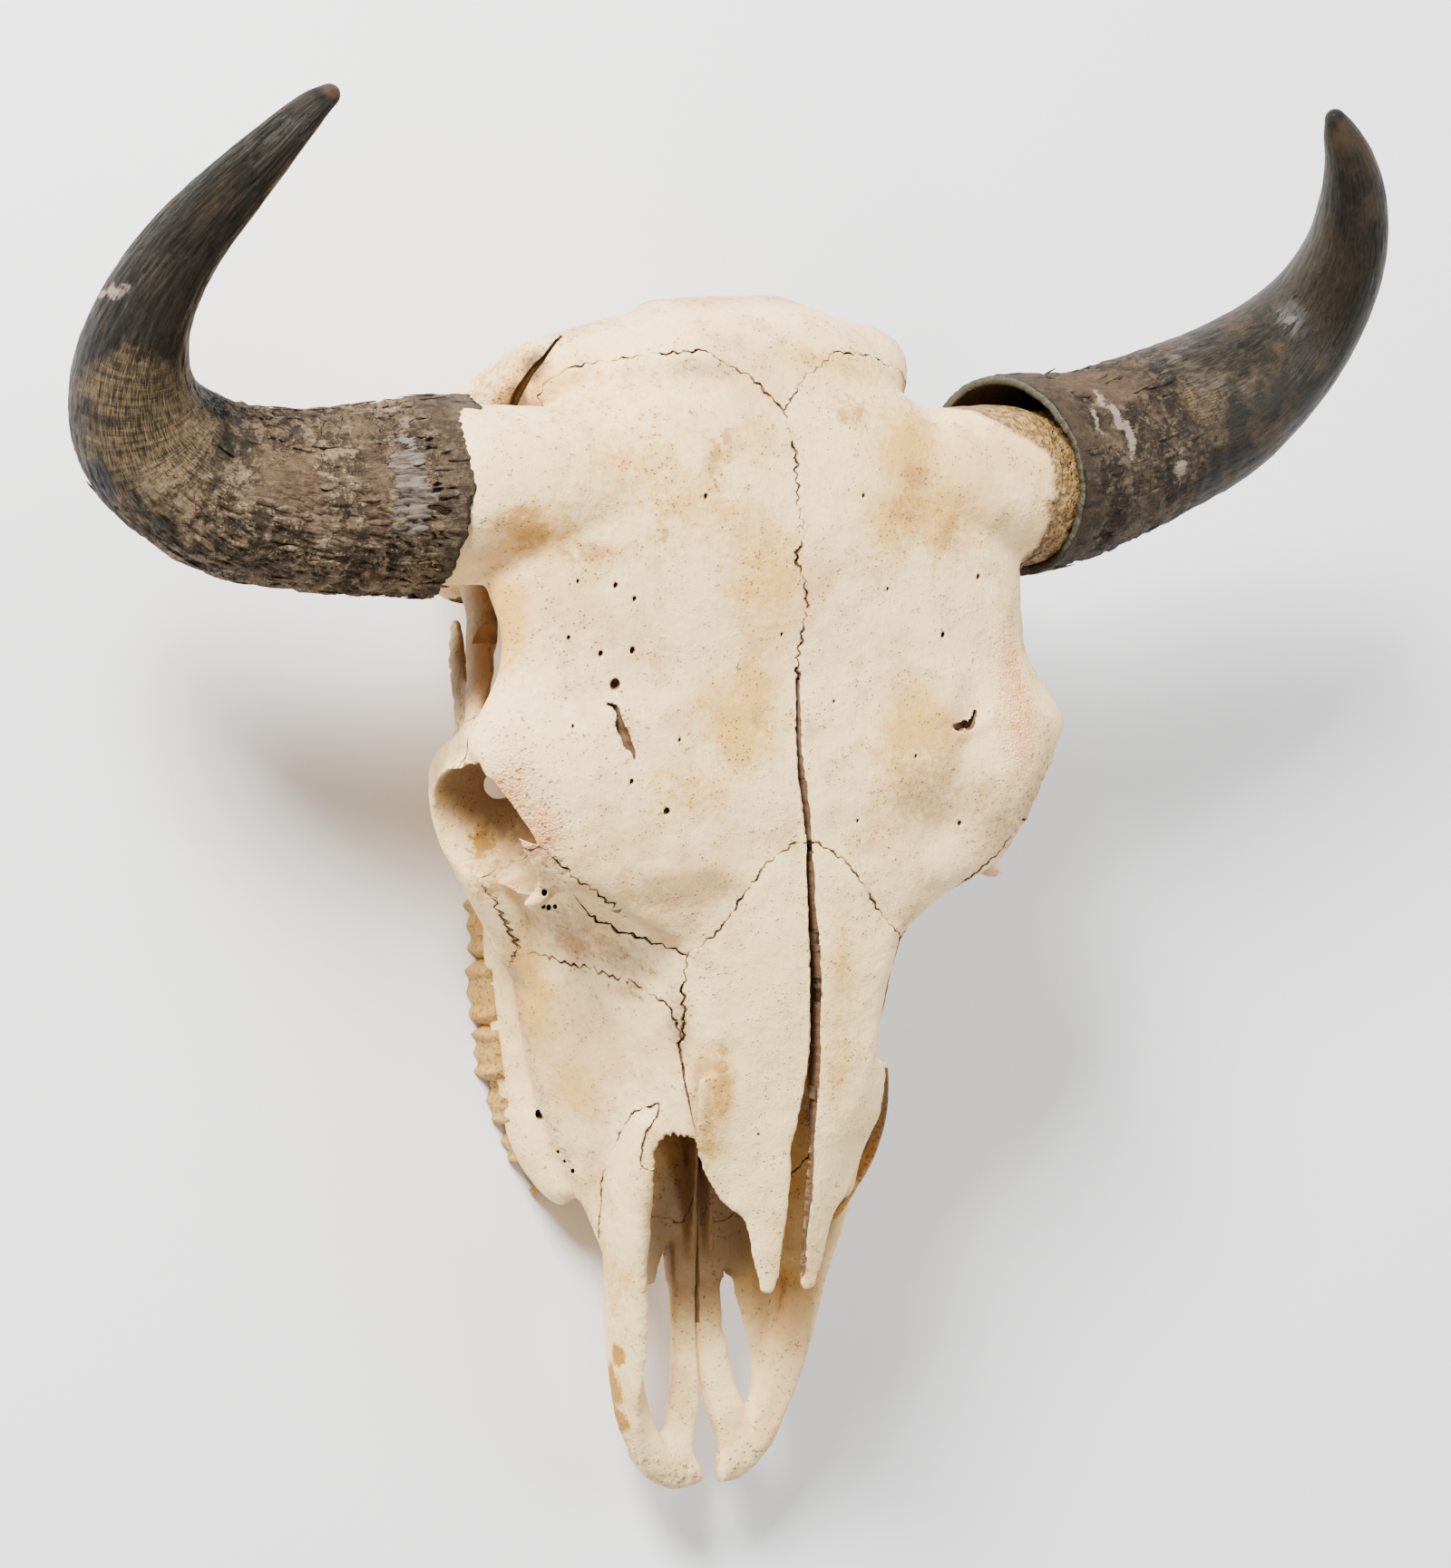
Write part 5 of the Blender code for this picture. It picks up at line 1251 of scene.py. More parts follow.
def material_of(name, group, inputs, bump=0.8, reach=0.0007, coat=0.0, shine=0.4):
    """A material whose shader reads one of the groups, fed by the piece's own places and numbers."""
    material = bpy.data.materials.new(name)
    material.use_nodes = True
    tree = material.node_tree
    tree.nodes.clear()
    shader = tree.nodes.new("ShaderNodeBsdfPrincipled")
    out = tree.nodes.new("ShaderNodeOutputMaterial")
    tree.links.new(shader.outputs[0], out.inputs[0])
    look = add(tree, "ShaderNodeGroup", node_tree=group)
    place = add(tree, "ShaderNodeTexCoord").outputs["Object"]
    tree.links.new(place, look.inputs["Place"])
    for label, value in inputs.items():
        if isinstance(value, str):
            number = add(tree, "ShaderNodeAttribute", attribute_name=value)
            tree.links.new(number.outputs["Vector" if label == "Round" else "Fac"], look.inputs[label])
        else:
            feed(tree, look.inputs[label], value)
    tree.links.new(look.outputs["Color"], shader.inputs["Base Color"])
    tree.links.new(look.outputs["Roughness"], shader.inputs["Roughness"])
    height = look.outputs["Height"]
    relief = result(tree, "ShaderNodeBump", {"Strength": bump, "Distance": reach, "Height": height})
    tree.links.new(relief, shader.inputs["Normal"])
    shader.inputs["Coat Weight"].default_value = coat
    shader.inputs["Specular IOR Level"].default_value = shine
    return material


def make_looks():
    """Every material of the skull."""
    bone, horn = bone_group(), horn_group()
    marks = {label: label.lower() for label in BONE_MARKS}
    looks = {}
    for name, ivory, mottle in (("bone", (0.95, 0.665, 0.315), 0.65),
                                ("face_bone", (0.95, 0.665, 0.31), 0.6),
                                ("muzzle_bone", (0.96, 0.68, 0.31), 0.5)):
        looks[name] = material_of("Skull " + name.replace("_", " "), bone,
                                  {**marks, "Ivory": ivory, "Mottle": mottle})
    # Painted shade: the cut walls in the gaps between bones, in the slits and in the crest's fold are
    # coloured a near black brown.
    looks["crevice_shade"] = material_of("Suture wall", bone,
                                   {**marks, "Ivory": (0.09, 0.045, 0.02), "Mottle": 0.4}, 0.6)
    looks["tooth"] = material_of("Cheek tooth", bone,
                                 {**marks, "Ivory": (0.52, 0.29, 0.055), "Mottle": 1.0, "Porous": 0.8},
                                 0.9)
    looks["core"] = material_of("Horn core", bone,
                                {**marks, "Ivory": (0.42, 0.255, 0.10), "Mottle": 0.6, "Pores": 1.0},
                                1.0, 0.001)
    marks = {label: label.lower() for label in ("Round",) + HORN_MARKS}
    looks["horn"] = material_of("Horn", horn, {**marks, "Warmth": 0.08, "Shade": 1.2}, 0.9, 0.0012, 0.02,
                                0.2)
    looks["horn_left"] = material_of("Left horn", horn, {**marks, "Warmth": 0.3, "Shade": 0.45}, 0.7, 0.001,
                                     0.02, 0.2)
    looks["horn_inside"] = material_of("Inside of the horn", bone,
                                       {"Ivory": (0.05, 0.035, 0.018), "Mottle": 0.5}, 0.8, 0.001)
    looks["lip"] = material_of("Lip of the horn", bone, {"Ivory": (0.052, 0.050, 0.028), "Mottle": 1.0}, 0.8,
                               0.001)
    return looks


def store(tree, surface, name, value, data_type):
    """The surface with a value kept under a name at its points."""
    return result(tree, "GeometryNodeStoreNamedAttribute", {0: surface, "Name": name, "Value": value},
                  data_type=data_type, domain="POINT")


def made_real(tree, surface, material):
    """The surface with its copies made real and given their material."""
    surface = result(tree, "GeometryNodeRealizeInstances", {0: surface})
    return result(tree, "GeometryNodeSetMaterial", {0: surface, "Material": material})


def sheath_tree(material):
    """A tree that carries a round along a sheath's rail and raises its bark and streaks."""
    tree, start, end = nodes_tree("Horn sheath surface", "GeometryNodeTree", (
        ("Rail", "NodeSocketGeometry", None), ("Sides", "NodeSocketInt", 220),
        ("Bark height", "NodeSocketFloat", 2.2), ("Streak height", "NodeSocketFloat", 0.7),
        ("Seed", "NodeSocketFloat", 3.0)), (("Surface", "NodeSocketGeometry"),))
    seed = start.outputs["Seed"]
    reach = named(tree, "reach")
    along = named(tree, "along")
    bark = named(tree, "bark")
    curve = result(tree, "GeometryNodeMeshToCurve", {0: start.outputs["Rail"]})
    curve = result(tree, "GeometryNodeSetCurveRadius", {0: curve, "Radius": reach})
    profile = result(tree, "GeometryNodeCurvePrimitiveCircle",
                     {"Resolution": start.outputs["Sides"], "Radius": 1.0})
    spot = result(tree, "GeometryNodeInputPosition")
    profile = store(tree, profile, "round", spot, "FLOAT_VECTOR")
    surface = result(tree, "GeometryNodeCurveToMesh",
                     {"Curve": curve, "Profile Curve": profile, "Scale": reach, "Fill Caps": True})
    circle = named(tree, "round", "FLOAT_VECTOR")
    run = upright(tree, times(tree, along, 0.02))
    wide = way_times(tree, circle, 2.6)
    grain = way_plus(tree, wide, run)
    streaks = noise_of(tree, grain, 3.4, 5.0, 0.62, seed=seed)
    short = upright(tree, times(tree, along, 0.075))
    scale_at = way_plus(tree, wide, short)
    scales = noise_of(tree, scale_at, 2.0, 4.0, 0.6, 0.6, seed)
    steps = sum_of(tree, "FRACT", times(tree, scales, 7.0))
    layer = times(tree, sum_of(tree, "POWER", steps, 1.6), bark)
    ridges = noise_of(tree, run, 4.5, 1.0, seed=seed)
    deep = times(tree, layer, start.outputs["Bark height"])
    lines = scaled(tree, spread(tree, streaks, 0.3, 0.62), -1.0, 1.0)
    deep = plus(tree, deep, times(tree, lines, start.outputs["Streak height"]))
    rings = times(tree, spread(tree, ridges, 0.35, 0.65), times(tree, bark, 1.4))
    deep = plus(tree, deep, rings)
    ragged = plus(tree, along, scaled(tree, scales, 26.0, -13.0))
    for start_of, end_of in ((21.0, 23.5), (44.0, 47.0)):
        drop = times(tree, spread(tree, ragged, start_of, end_of), times(tree, bark, 0.8))
        deep = plus(tree, deep, drop)
    fade = times(tree, spread(tree, reach, 0.002, 0.012), spread(tree, along, 2.0, 26.0, 0.28, 1.0))
    deep = times(tree, times(tree, deep, fade), -MM)
    normal = result(tree, "GeometryNodeInputNormal")
    offset = way_times(tree, normal, deep)
    surface = result(tree, "GeometryNodeSetPosition", {0: surface, "Offset": offset})
    return put_out(tree, end, made_real(tree, surface, material))


def flake_tree(material):
    """A tree that scatters slivers of loose bark over a sheath, each lifted a little at one end."""
    tree, start, end = nodes_tree("Bark slivers", "GeometryNodeTree", (
        ("Sheath", "NodeSocketGeometry", None), ("Sliver", "NodeSocketObject", None),
        ("Density", "NodeSocketFloat", 9000.0), ("Seed", "NodeSocketInt", 5)),
        (("Slivers", "NodeSocketGeometry"),))
    bark = named(tree, "bark")
    way = named(tree, "way", "FLOAT_VECTOR")
    share = spread(tree, bark, 0.35, 0.9)
    dots = add(tree, "GeometryNodeDistributePointsOnFaces", {
        0: start.outputs[0], "Distance Min": 0.0022, "Density Max": start.outputs["Density"],
        "Density Factor": share, "Seed": start.outputs["Seed"]}, distribute_method="POISSON")
    turn = result(tree, "FunctionNodeAlignRotationToVector", {"Vector": dots.outputs["Normal"]}, axis="Z")
    turn = result(tree, "FunctionNodeAlignRotationToVector", {"Rotation": turn, "Vector": way}, axis="X",
                  pivot_axis="Z")
    tip = add(tree, "FunctionNodeRandomValue", {2: -0.16, 3: 0.10, "Seed": start.outputs["Seed"]}).outputs[1]
    lift = result(tree, "FunctionNodeEulerToRotation", {0: result(tree, "ShaderNodeCombineXYZ", {1: tip})})
    turn = result(tree, "FunctionNodeRotateRotation", {0: turn, 1: lift}, rotation_space="LOCAL")
    size = result(tree, "FunctionNodeRandomValue", {0: (0.5, 0.5, 0.5), 1: (1.5, 1.3, 1.1), "Seed": 9},
                  data_type="FLOAT_VECTOR")
    sliver = add(tree, "GeometryNodeObjectInfo", {0: start.outputs["Sliver"]}).outputs["Geometry"]
    made = result(tree, "GeometryNodeInstanceOnPoints",
                  {"Points": dots.outputs["Points"], "Instance": sliver, "Rotation": turn, "Scale": size})
    return put_out(tree, end, made_real(tree, made, material))


# The turn from one ray to the next that spreads them evenly, in radians.
EVEN_TURN = 2.39996


def recess_tree(rays=14):
    """A tree that measures how shut in a bone's points lie, by rays cast into the whole skull, for painted
    shade.
    """
    tree, start, end = nodes_tree("Recess measure", "GeometryNodeTree", (
        ("Bone", "NodeSocketGeometry", None), ("Whole", "NodeSocketObject", None),
        ("Reach", "NodeSocketFloat", 0.085), ("Start", "NodeSocketFloat", 0.0012)),
        (("Bone", "NodeSocketGeometry"),))
    whole = add(tree, "GeometryNodeObjectInfo", {0: start.outputs["Whole"]}).outputs["Geometry"]
    normal = result(tree, "GeometryNodeInputNormal")
    spot = result(tree, "GeometryNodeInputPosition")
    off = way_times(tree, normal, start.outputs["Start"])
    origin = way_plus(tree, spot, off)
    total = None
    for k in range(rays):
        z = 1 - 2 * (k + 0.5) / rays
        turn = k * EVEN_TURN
        wide = math.sqrt(1 - z * z)
        unit = (wide * math.cos(turn), wide * math.sin(turn), z)
        way = way_plus(tree, normal, unit)
        aim = {"Target Geometry": whole, "Source Position": origin, "Ray Direction": way,
               "Ray Length": start.outputs["Reach"]}
        hit = add(tree, "GeometryNodeRaycast", aim).outputs["Is Hit"]
        total = hit if total is None else plus(tree, total, hit)
    share = sum_of(tree, "DIVIDE", total, float(rays))
    return put_out(tree, end, store(tree, start.outputs[0], "hollow", share, "FLOAT"))


def grown(body, tree, **values):
    """The body run through a tree with these inputs, made a plain mesh."""
    work = body.modifiers.new("grow", "NODES")
    work.node_group = tree
    for item in tree.interface.items_tree:
        if item.in_out == "INPUT" and item.name.replace(" ", "_") in values:
            work[item.identifier] = values[item.name.replace(" ", "_")]
    return applied(body)


def share_near(places, middles, soft=0.5):
    """How near the places come to a set of middles with their half sizes, from none to all."""
    total = np.zeros(len(places))
    for x, y, z, a, b, c in middles:
        away = np.linalg.norm((places - (x, y, z)) / (a, b, c), axis=1)
        total = np.maximum(total, np.clip((1 + soft - away) / (2 * soft), 0, 1))
    return total


# Where each stain and each patch of painted shade lies: middle and half sizes, in the frame of the forehead.
STAINS_AND_SHADE = {
    "veil": ((-62, 165, 2, 52, 30, 24), (-40, 172, 4, 10, 18, 20), (66, 143, 4, 34, 24, 24),
             (58, 182, 2, 22, 22, 20), (-80, 206, -26, 28, 16, 26), (-134, 100, -14, 9, 26, 24),
             (-20, 130, 4, 20, 34, 20), (60, 40, 2, 24, 26, 20), (-60, 30, 2, 22, 14, 20),
             (-30, 60, 3, 22, 30, 20), (40, 214, -12, 34, 10, 20), (-103, 216, -64, 16, 22, 22),
             (-120, 146, -4, 22, 12, 20), (-40, -110, -24, 8, 34, 14), (20, -60, -10, 8, 60, 14),
             *both(88, -60, -104, 10, 66, 20), (-80, -110, -90, 14, 20, 20), (-50, -190, -96, 8, 30, 20),
             (-112, 8, -84, 12, 14, 16), (0, 240, -80, 90, 20, 40), (0, -150, -112, 50, 60, 30),
             (0, 215, -118, 60, 40, 30), *both(46, 168, -150, 24, 30, 22)),
    # Dusk is painted shade: below the brow's edge, round the tear bones, along the nasals' side edges and the
    # cheeks' lower edges, on the underside, behind the poll and over the left brow.
    "dusk": ((-90, -60, -113, 5, 60, 9), (-104, 214, -74, 12, 16, 18), *both(86, -28, -66, 18, 13, 20),
             *both(68, -44, -42, 12, 10, 15), *both(53, -72, -27, 5, 24, 8), (-46, 214, -14, 26, 6, 20),
             (-60, -12, -6, 26, 8, 12), (0, 252, -60, 60, 10, 30), (-44, -106, -28, 3, 26, 10),
             (70, 24, 2, 26, 18, 20), (108, 12, -14, 24, 14, 20), *both(70, 200, -164, 14, 20, 24),
             (0, 214, -158, 26, 30, 16), (88, -60, -113, 5, 60, 9)),
    "tan": ((-132, 148, 0, 12, 7, 20), (-126, 141, 0, 8, 9, 20), (-101, 134, 0, 12, 6, 20),
            (-29, 182, 4, 6, 8, 20), (-40, 176, 4, 6, 11, 20), (-69, 141, 2, 6, 5, 20),
            (60, 152, 4, 12, 9, 20), (84, 140, 2, 14, 9, 20), (66, 166, 4, 8, 8, 20),
            (-96, 219, -46, 8, 9, 9), (-102, 207, -56, 7, 9, 9), (-106, 212, -74, 9, 12, 12),
            *both(82, -34, -62, 20, 9, 20), (-38, -98, -20, 5, 36, 14), (-42, -128, -30, 4, 18, 12),
            (-66, -58, -46, 9, 6, 9), (-116, -4, -84, 12, 16, 12), (-20, 60, 4, 8, 6, 20),
            (36, 196, 0, 10, 8, 20), (8, -112, -31, 6, 24, 9), (8, -150, -42, 6, 26, 12),
            *both(33, 226, -164, 14, 16, 14)),
    "rose": ((-139, 36, -11, 9, 17, 14), (-127, 15, -8, 9, 12, 12), (120, 60, -2, 12, 34, 20)),
    "amber": ((-48.5, -226, -105, 3, 5, 5), (-48, -243, -116, 5, 11, 8), (-44, -257, -116, 6, 6, 8),
              (-112, 10, -93, 7, 6, 7), (-112, -4, -30, 5, 5, 5)),
    # Brown is painted shade inside and behind the eye sockets, in the nose, in the opening for the brain,
    # under the skull and in the crest's fold, and the real brown of the splinter along the left muzzle.
    "brown": ((0, 212, -124, 20, 24, 18), (0, 40, -146, 24, 60, 18), (0, -178, -98, 34, 44, 26),
              (0, -120, -80, 40, 40, 34), (-108, 42, -74, 26, 24, 32), (106, 44, -72, 26, 26, 34),
              *both(108, 96, -84, 26, 34, 20), (-97, 218, -46, 5, 6, 5), (-102, 206, -54, 4, 7, 5),
              (-122, 44, -80, 16, 17, 17), (79, -128, -72, 6, 26, 9)),
}
# The same for the worn, pale, rusty and tawny places of the horns.
# The worn places are partly real wear and partly painted sheen; on the left horn they lighten where its
# highlight falls.
WEAR = {
    "right": {
        "worn": ((-297, 236, 6, 12, 26, 30), (-180, 165, -4, 9, 28, 18), (-262, 290, 50, 16, 18, 30)),
        "pale": ((-308, 243, -6, 7, 3, 12), (-220, 187, -8, 3, 7, 12), (-268, 170, -14, 6, 3, 10),
                 (-214, 176, -6, 2, 6, 10)),
        "rust": ((-246, 314, 69, 5, 4, 6), (-196, 165, -4, 6, 30, 24), (-232, 166, -20, 16, 14, 20)),
        "tawny": ((-284, 182, -24, 30, 30, 30), (-302, 205, -16, 14, 20, 30)),
    },
    "left": {
        "worn": ((300, 262, 6, 30, 50, 40), (250, 222, -6, 26, 22, 26)),
        "pale": ((180, 204, 0, 3, 7, 12), (185, 194, 0, 3, 8, 12), (190, 183, 0, 3.4, 9, 12),
                 (172, 192, 6, 2, 8, 12), (222, 168, -6, 4, 8, 12), (283, 316, 52, 4, 4, 6)),
        "rust": ((190, 214, -14, 26, 14, 24),),
        "tawny": ((238, 208, -4, 14, 18, 22),),
    },
}


def given(body, materials):
    """The body with these materials, its faces in the same slots as before."""
    slots = numbers_of(body.data.polygons, "material_index")
    body.data.materials.clear()
    for material in materials:
        body.data.materials.append(material)
    body.data.polygons.foreach_set("material_index", slots)
    return body


def ragged_cut(word, reach):
    """A cutting block whose face is the ragged base of a sheath."""
    point, way = (np.array(v, float) for v in SHEATH_BASE[word])
    way /= np.linalg.norm(way)
    across = np.cross(way, (0, 0, 1))
    across /= np.linalg.norm(across)
    high = np.cross(way, across)
    turns = np.arange(240) * 2 * math.pi / 240
    rings = []
    for back, wide in ((-60, 95), (0, 95), (0, 80), (0, 66), (0, 52), (0, 44), (0, 38), (0, 32), (0, 16)):
        ring = point + way * back + wide * (across * np.cos(turns)[:, None] + high * np.sin(turns)[:, None])
        if back == 0:
            circle = np.stack([np.cos(turns), np.sin(turns), turns * 0], axis=1)
            swing = rough(circle * 6, 1.0, 15) + 0.6 * rough(circle * 16, 1.0, 16)
            ring += way * (swing * reach)[:, None]
        rings.append(ring)
    return skin("base_cut", rings, wall=THIRD)


# How barky a sheath is at these places along it, in millimetres from its base.
BARK_ALONG = {"right": ((0, 60, 110, 150, 190), (1.0, 0.9, 0.7, 0.25, 0.03)),
              "left": ((0, 60, 110, 150, 190), (1.0, 0.85, 0.35, 0.1, 0.0))}
# How far a sheath's torn base swings in and out.
BASE_SWING = {"right": 2.4, "left": 1.1}


def sheath_rail(word):
    """The rail of a sheath: its middle line, with its half width and how barky it is at each place."""
    stations = list(SHEATH[word])
    last = np.array(stations[-1][:3], float)
    ahead = last - np.array(stations[-2][:3], float)
    ahead /= np.linalg.norm(ahead)
    rows = list(resampled(stations, 150))
    for step, width in ((1.3, 0.84), (2.3, 0.62), (3.0, 0.36), (3.3, 0.12)):
        rows.append((*(last + ahead * step), stations[-1][3] * width, stations[-1][4] * width))
    rows = np.array(rows)
    run = np.concatenate([[0], np.cumsum(np.linalg.norm(np.diff(rows[:, :3], axis=0), axis=1))])
    base = np.array(SHEATH_BASE[word][0], float)
    run -= run[np.linalg.norm(rows[:, :3] - base, axis=1).argmin()]
    data = bpy.data.meshes.new("rail")
    data.from_pydata([tuple(p) for p in rows[:, :3] * MM], [(i, i + 1) for i in range(len(rows) - 1)], [])
    rail = linked("horn_sheath_" + word, data)
    barky = np.interp(run, *BARK_ALONG[word])
    stored(rail, "reach", (rows[:, 3] + rows[:, 4]) / 2 * MM)
    stored(rail, "along", run)
    stored(rail, "bark", barky)
    ways = np.gradient(rows[:, :3], axis=0)
    kept = data.attributes.new("way", "FLOAT_VECTOR", "POINT")
    ways /= np.linalg.norm(ways, axis=1)[:, None]
    kept.data.foreach_set("vector", ways.astype(np.float32).ravel())
    return rail


def horn_sheath(word, looks, seed, bark_height, streak_height):
    """A horn sheath: its surface from the tree, its ragged base cut open over the horn core."""
    look = looks["horn" if word == "right" else "horn_left"]
    sheath = grown(sheath_rail(word), sheath_tree(look), Seed=seed, Bark_height=bark_height,
                   Streak_height=streak_height)
    core = limb("core_room", CORE[word], sides=120, steps=60, grow=CORE_CLEARANCE, wall=CREVICE)
    room = limb("base_room", SHEATH_ROOM[word], sides=160, steps=60, wall=CREVICE)
    joined(sheath, [joined(core, [room]), ragged_cut(word, BASE_SWING[word])], "DIFFERENCE")
    main_shell(sheath)
    places = points_of(sheath)
    for mark, middles in WEAR[word].items():
        stored(sheath, mark, share_near(places, middles))
    return given(sheath, (look, looks["horn_inside"], looks["lip" if word == "left" else "horn_inside"]))


# One sliver of bark, drawn along x.
SLIVER = ((-5, 0, 0, 0.3, 0.15), (-3.5, 0, 0.2, 1.1, 0.4), (0, 0, 0.35, 1.5, 0.5), (3.5, 0.2, 0.3, 1.0, 0.4),
          (5.5, 0.3, 0.1, 0.3, 0.15))


def bark_slivers(sheath, word, looks, density, seed):
    """Loose slivers of bark over the root of a sheath."""
    sliver = limb("sliver", SLIVER, sides=8, steps=8)
    piece = copied(sheath, "bark_slivers_" + word)
    grown(piece, flake_tree(looks["horn" if word == "right" else "horn_left"]), Sliver=sliver,
          Density=density, Seed=seed)
    bpy.data.objects.remove(sliver)
    return piece


# How far out along x the porous core of the left horn begins.
CORE_START = 141


def marked(body, whole, measure):
    """The body with its recesses measured and its stains and painted shade laid on."""
    grown(body, measure, Whole=whole)
    places = points_of(body)
    for mark, middles in STAINS_AND_SHADE.items():
        stored(body, mark, share_near(places, middles))
    _, y, z = places.T
    reach = CORE_START - 1.2 * np.maximum(y - 174, 0) + 0.22 * z + 5 * rough(places, 9, 17)
    on_core = (y > 110) & body.name.startswith("frontal_left")
    stored(body, "golden", np.clip((places[:, 0] - reach) / 4, 0, 1) * on_core)
    if "porous" not in body.data.attributes:
        stored(body, "porous", np.zeros(len(places)))
    return body


def rest_pose():
    """The way from the frame of the forehead to the skull at rest."""
    return Matrix.Translation(Vector(REST_SHIFT) * MM) @ Matrix.Rotation(math.radians(REST_TILT), 4, "X")


def laid_down(body):
    """The body in its resting pose, kept inside the solids' box."""
    body.data.transform(rest_pose())
    low, high = (np.array(corner) / MM for corner in CAD_BOX)
    return moved(body, np.clip(points_of(body), low + BOX_MARGIN, high - BOX_MARGIN))


def dressed(body, node):
    """The piece with smooth faces and its place in the frame."""
    body.data.shade_smooth()
    body.data.name = body.name
    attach(body, "root")
    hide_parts(node)
    return body


# The bones, their materials' slots, and the most triangles of one.
BONES = ("cranium", "frontal_right", "frontal_left", "lacrimal_right", "lacrimal_left", "zygomatic_right",
         "zygomatic_left", "maxilla_right", "maxilla_left", "nasal_right", "nasal_left", "premaxilla_right",
         "premaxilla_left")
SLOTS = {"cranium": "bone", "frontal": "bone", "lacrimal": "face_bone", "zygomatic": "face_bone",
         "maxilla": "face_bone", "nasal": "muzzle_bone", "premaxilla": "muzzle_bone"}

MOST_TRIANGLES = 180000
# The brown splinter along the left muzzle's edge.
SPLINTER = ((82.5, -104, -70, 0.6, 1.4), (81, -112, -70, 1.5, 3), (78.5, -124, -70, 2, 4),
            (74, -136, -70, 2.2, 4.4), (68, -147, -70, 2.2, 4.4), (60, -157, -70, 2.2, 4),
            (52, -167, -71, 2.4, 4), (44, -176, -74, 2, 3))


def millimetres(name, description, default, least, most):
    """A size in millimetres that a user may change."""
    return FloatProperty(name=name, description=description + ", in millimetres", default=default,
                         min=least, max=most)


class SkullSettings(bpy.types.PropertyGroup):
    """Sizes that a user may change before the skull is built."""
    grain: millimetres("Bone grain", "Size of the cells of the bone's skin", 1.45, 1.0, 4.0)
    suture: millimetres("Suture width", "Widest opening of a suture on each side", 0.55, 0.0, 1.0)
    bark_right: millimetres("Right bark", "Depth of the bark on the right horn", 2.6, 0.0, 5.0)
    bark_left: millimetres("Left bark", "Depth of the bark on the left horn", 1.3, 0.0, 5.0)
    streak: millimetres("Streak depth", "Depth of the horns' lengthwise lines", 0.7, 0.0, 3.0)
    sliver_density: FloatProperty(name="Sliver density", description="Bark slivers on a square metre of horn",
                                  default=5200.0, min=0.0, max=20000.0)
    floor_colour: FloatVectorProperty(name="Floor", description="Colour of the floor", subtype="COLOR",
                                      size=3, default=(0.92, 0.92, 0.92), min=0.0, max=1.0)
    key_power: FloatProperty(name="Main light", description="Power of the main light, in watts",
                             default=282.0, min=0.0, subtype="POWER", unit="POWER")


class SkullBones(bpy.types.Operator):
    """Make the whole skull in one skin and part it into its bones along their sutures."""
    bl_idname = "skull.bones"
    bl_label = "Bones"

    def execute(self, context):
        body = skull_skin(context.scene.skull.grain)
        whole = copied(body, "whole_skull")
        for name, bone in parted_bones(body).items():
            bone.name = name + "_bone"
            main_shell(open_sutures(bone, context.scene.skull.suture))
            triangles = sum(len(face.vertices) - 2 for face in bone.data.polygons)
            if triangles > MOST_TRIANGLES:
                bone.modifiers.new("fewer", "DECIMATE").ratio = MOST_TRIANGLES / triangles
                applied(bone)
        whole.hide_render = True
        return {"FINISHED"}


class SkullTeeth(bpy.types.Operator):
    """Set the cheek teeth in both upper jaws, and the splinter that stands off the left muzzle."""
    bl_idname = "skull.teeth"
    bl_label = "Teeth"

    def execute(self, context):
        for side, word in SIDES:
            jaw = bpy.data.objects["maxilla_" + word + "_bone"]
            joined(jaw, [tooth(*sizes, side) for sizes in TEETH])
            main_shell(jaw)
        muzzle = bpy.data.objects["premaxilla_left_bone"]
        joined(muzzle, [limb("splinter", SPLINTER, sides=14, wall=THIRD)])
        main_shell(muzzle)
        return {"FINISHED"}


class SkullCores(bpy.types.Operator):
    """Grow the porous horn cores out of the frontal bones."""
    bl_idname = "skull.cores"
    bl_label = "Horn cores"

    def execute(self, context):
        for _, word in SIDES:
            brow = bpy.data.objects["frontal_" + word + "_bone"]
            joined(brow, [horn_core(word)])
            main_shell(brow)
        return {"FINISHED"}


class SkullBoneFinish(bpy.types.Operator):
    """Measure the recesses, lay on the stains, painted shade and materials, and put every bone in its resting
    place.
    """
    bl_idname = "skull.bone_finish"
    bl_label = "Bone finish"

    def execute(self, context):
        looks = make_looks()
        whole = bpy.data.objects["whole_skull"]
        measure = recess_tree()
        for name in BONES:
            bone = marked(bpy.data.objects[name + "_bone"], whole, measure)
            slot = SLOTS[name.split("_")[0]]
            given(laid_down(bone), [looks[k] for k in (slot, "crevice_shade", "tooth", "core")])
            dressed(bone, name)
        bpy.data.objects.remove(whole)
        return {"FINISHED"}


HORN_LOOKS = {"horn": "Horn", "horn_left": "Left horn", "horn_inside": "Inside of the horn",
              "lip": "Lip of the horn"}
SLIVER_SEED = 5


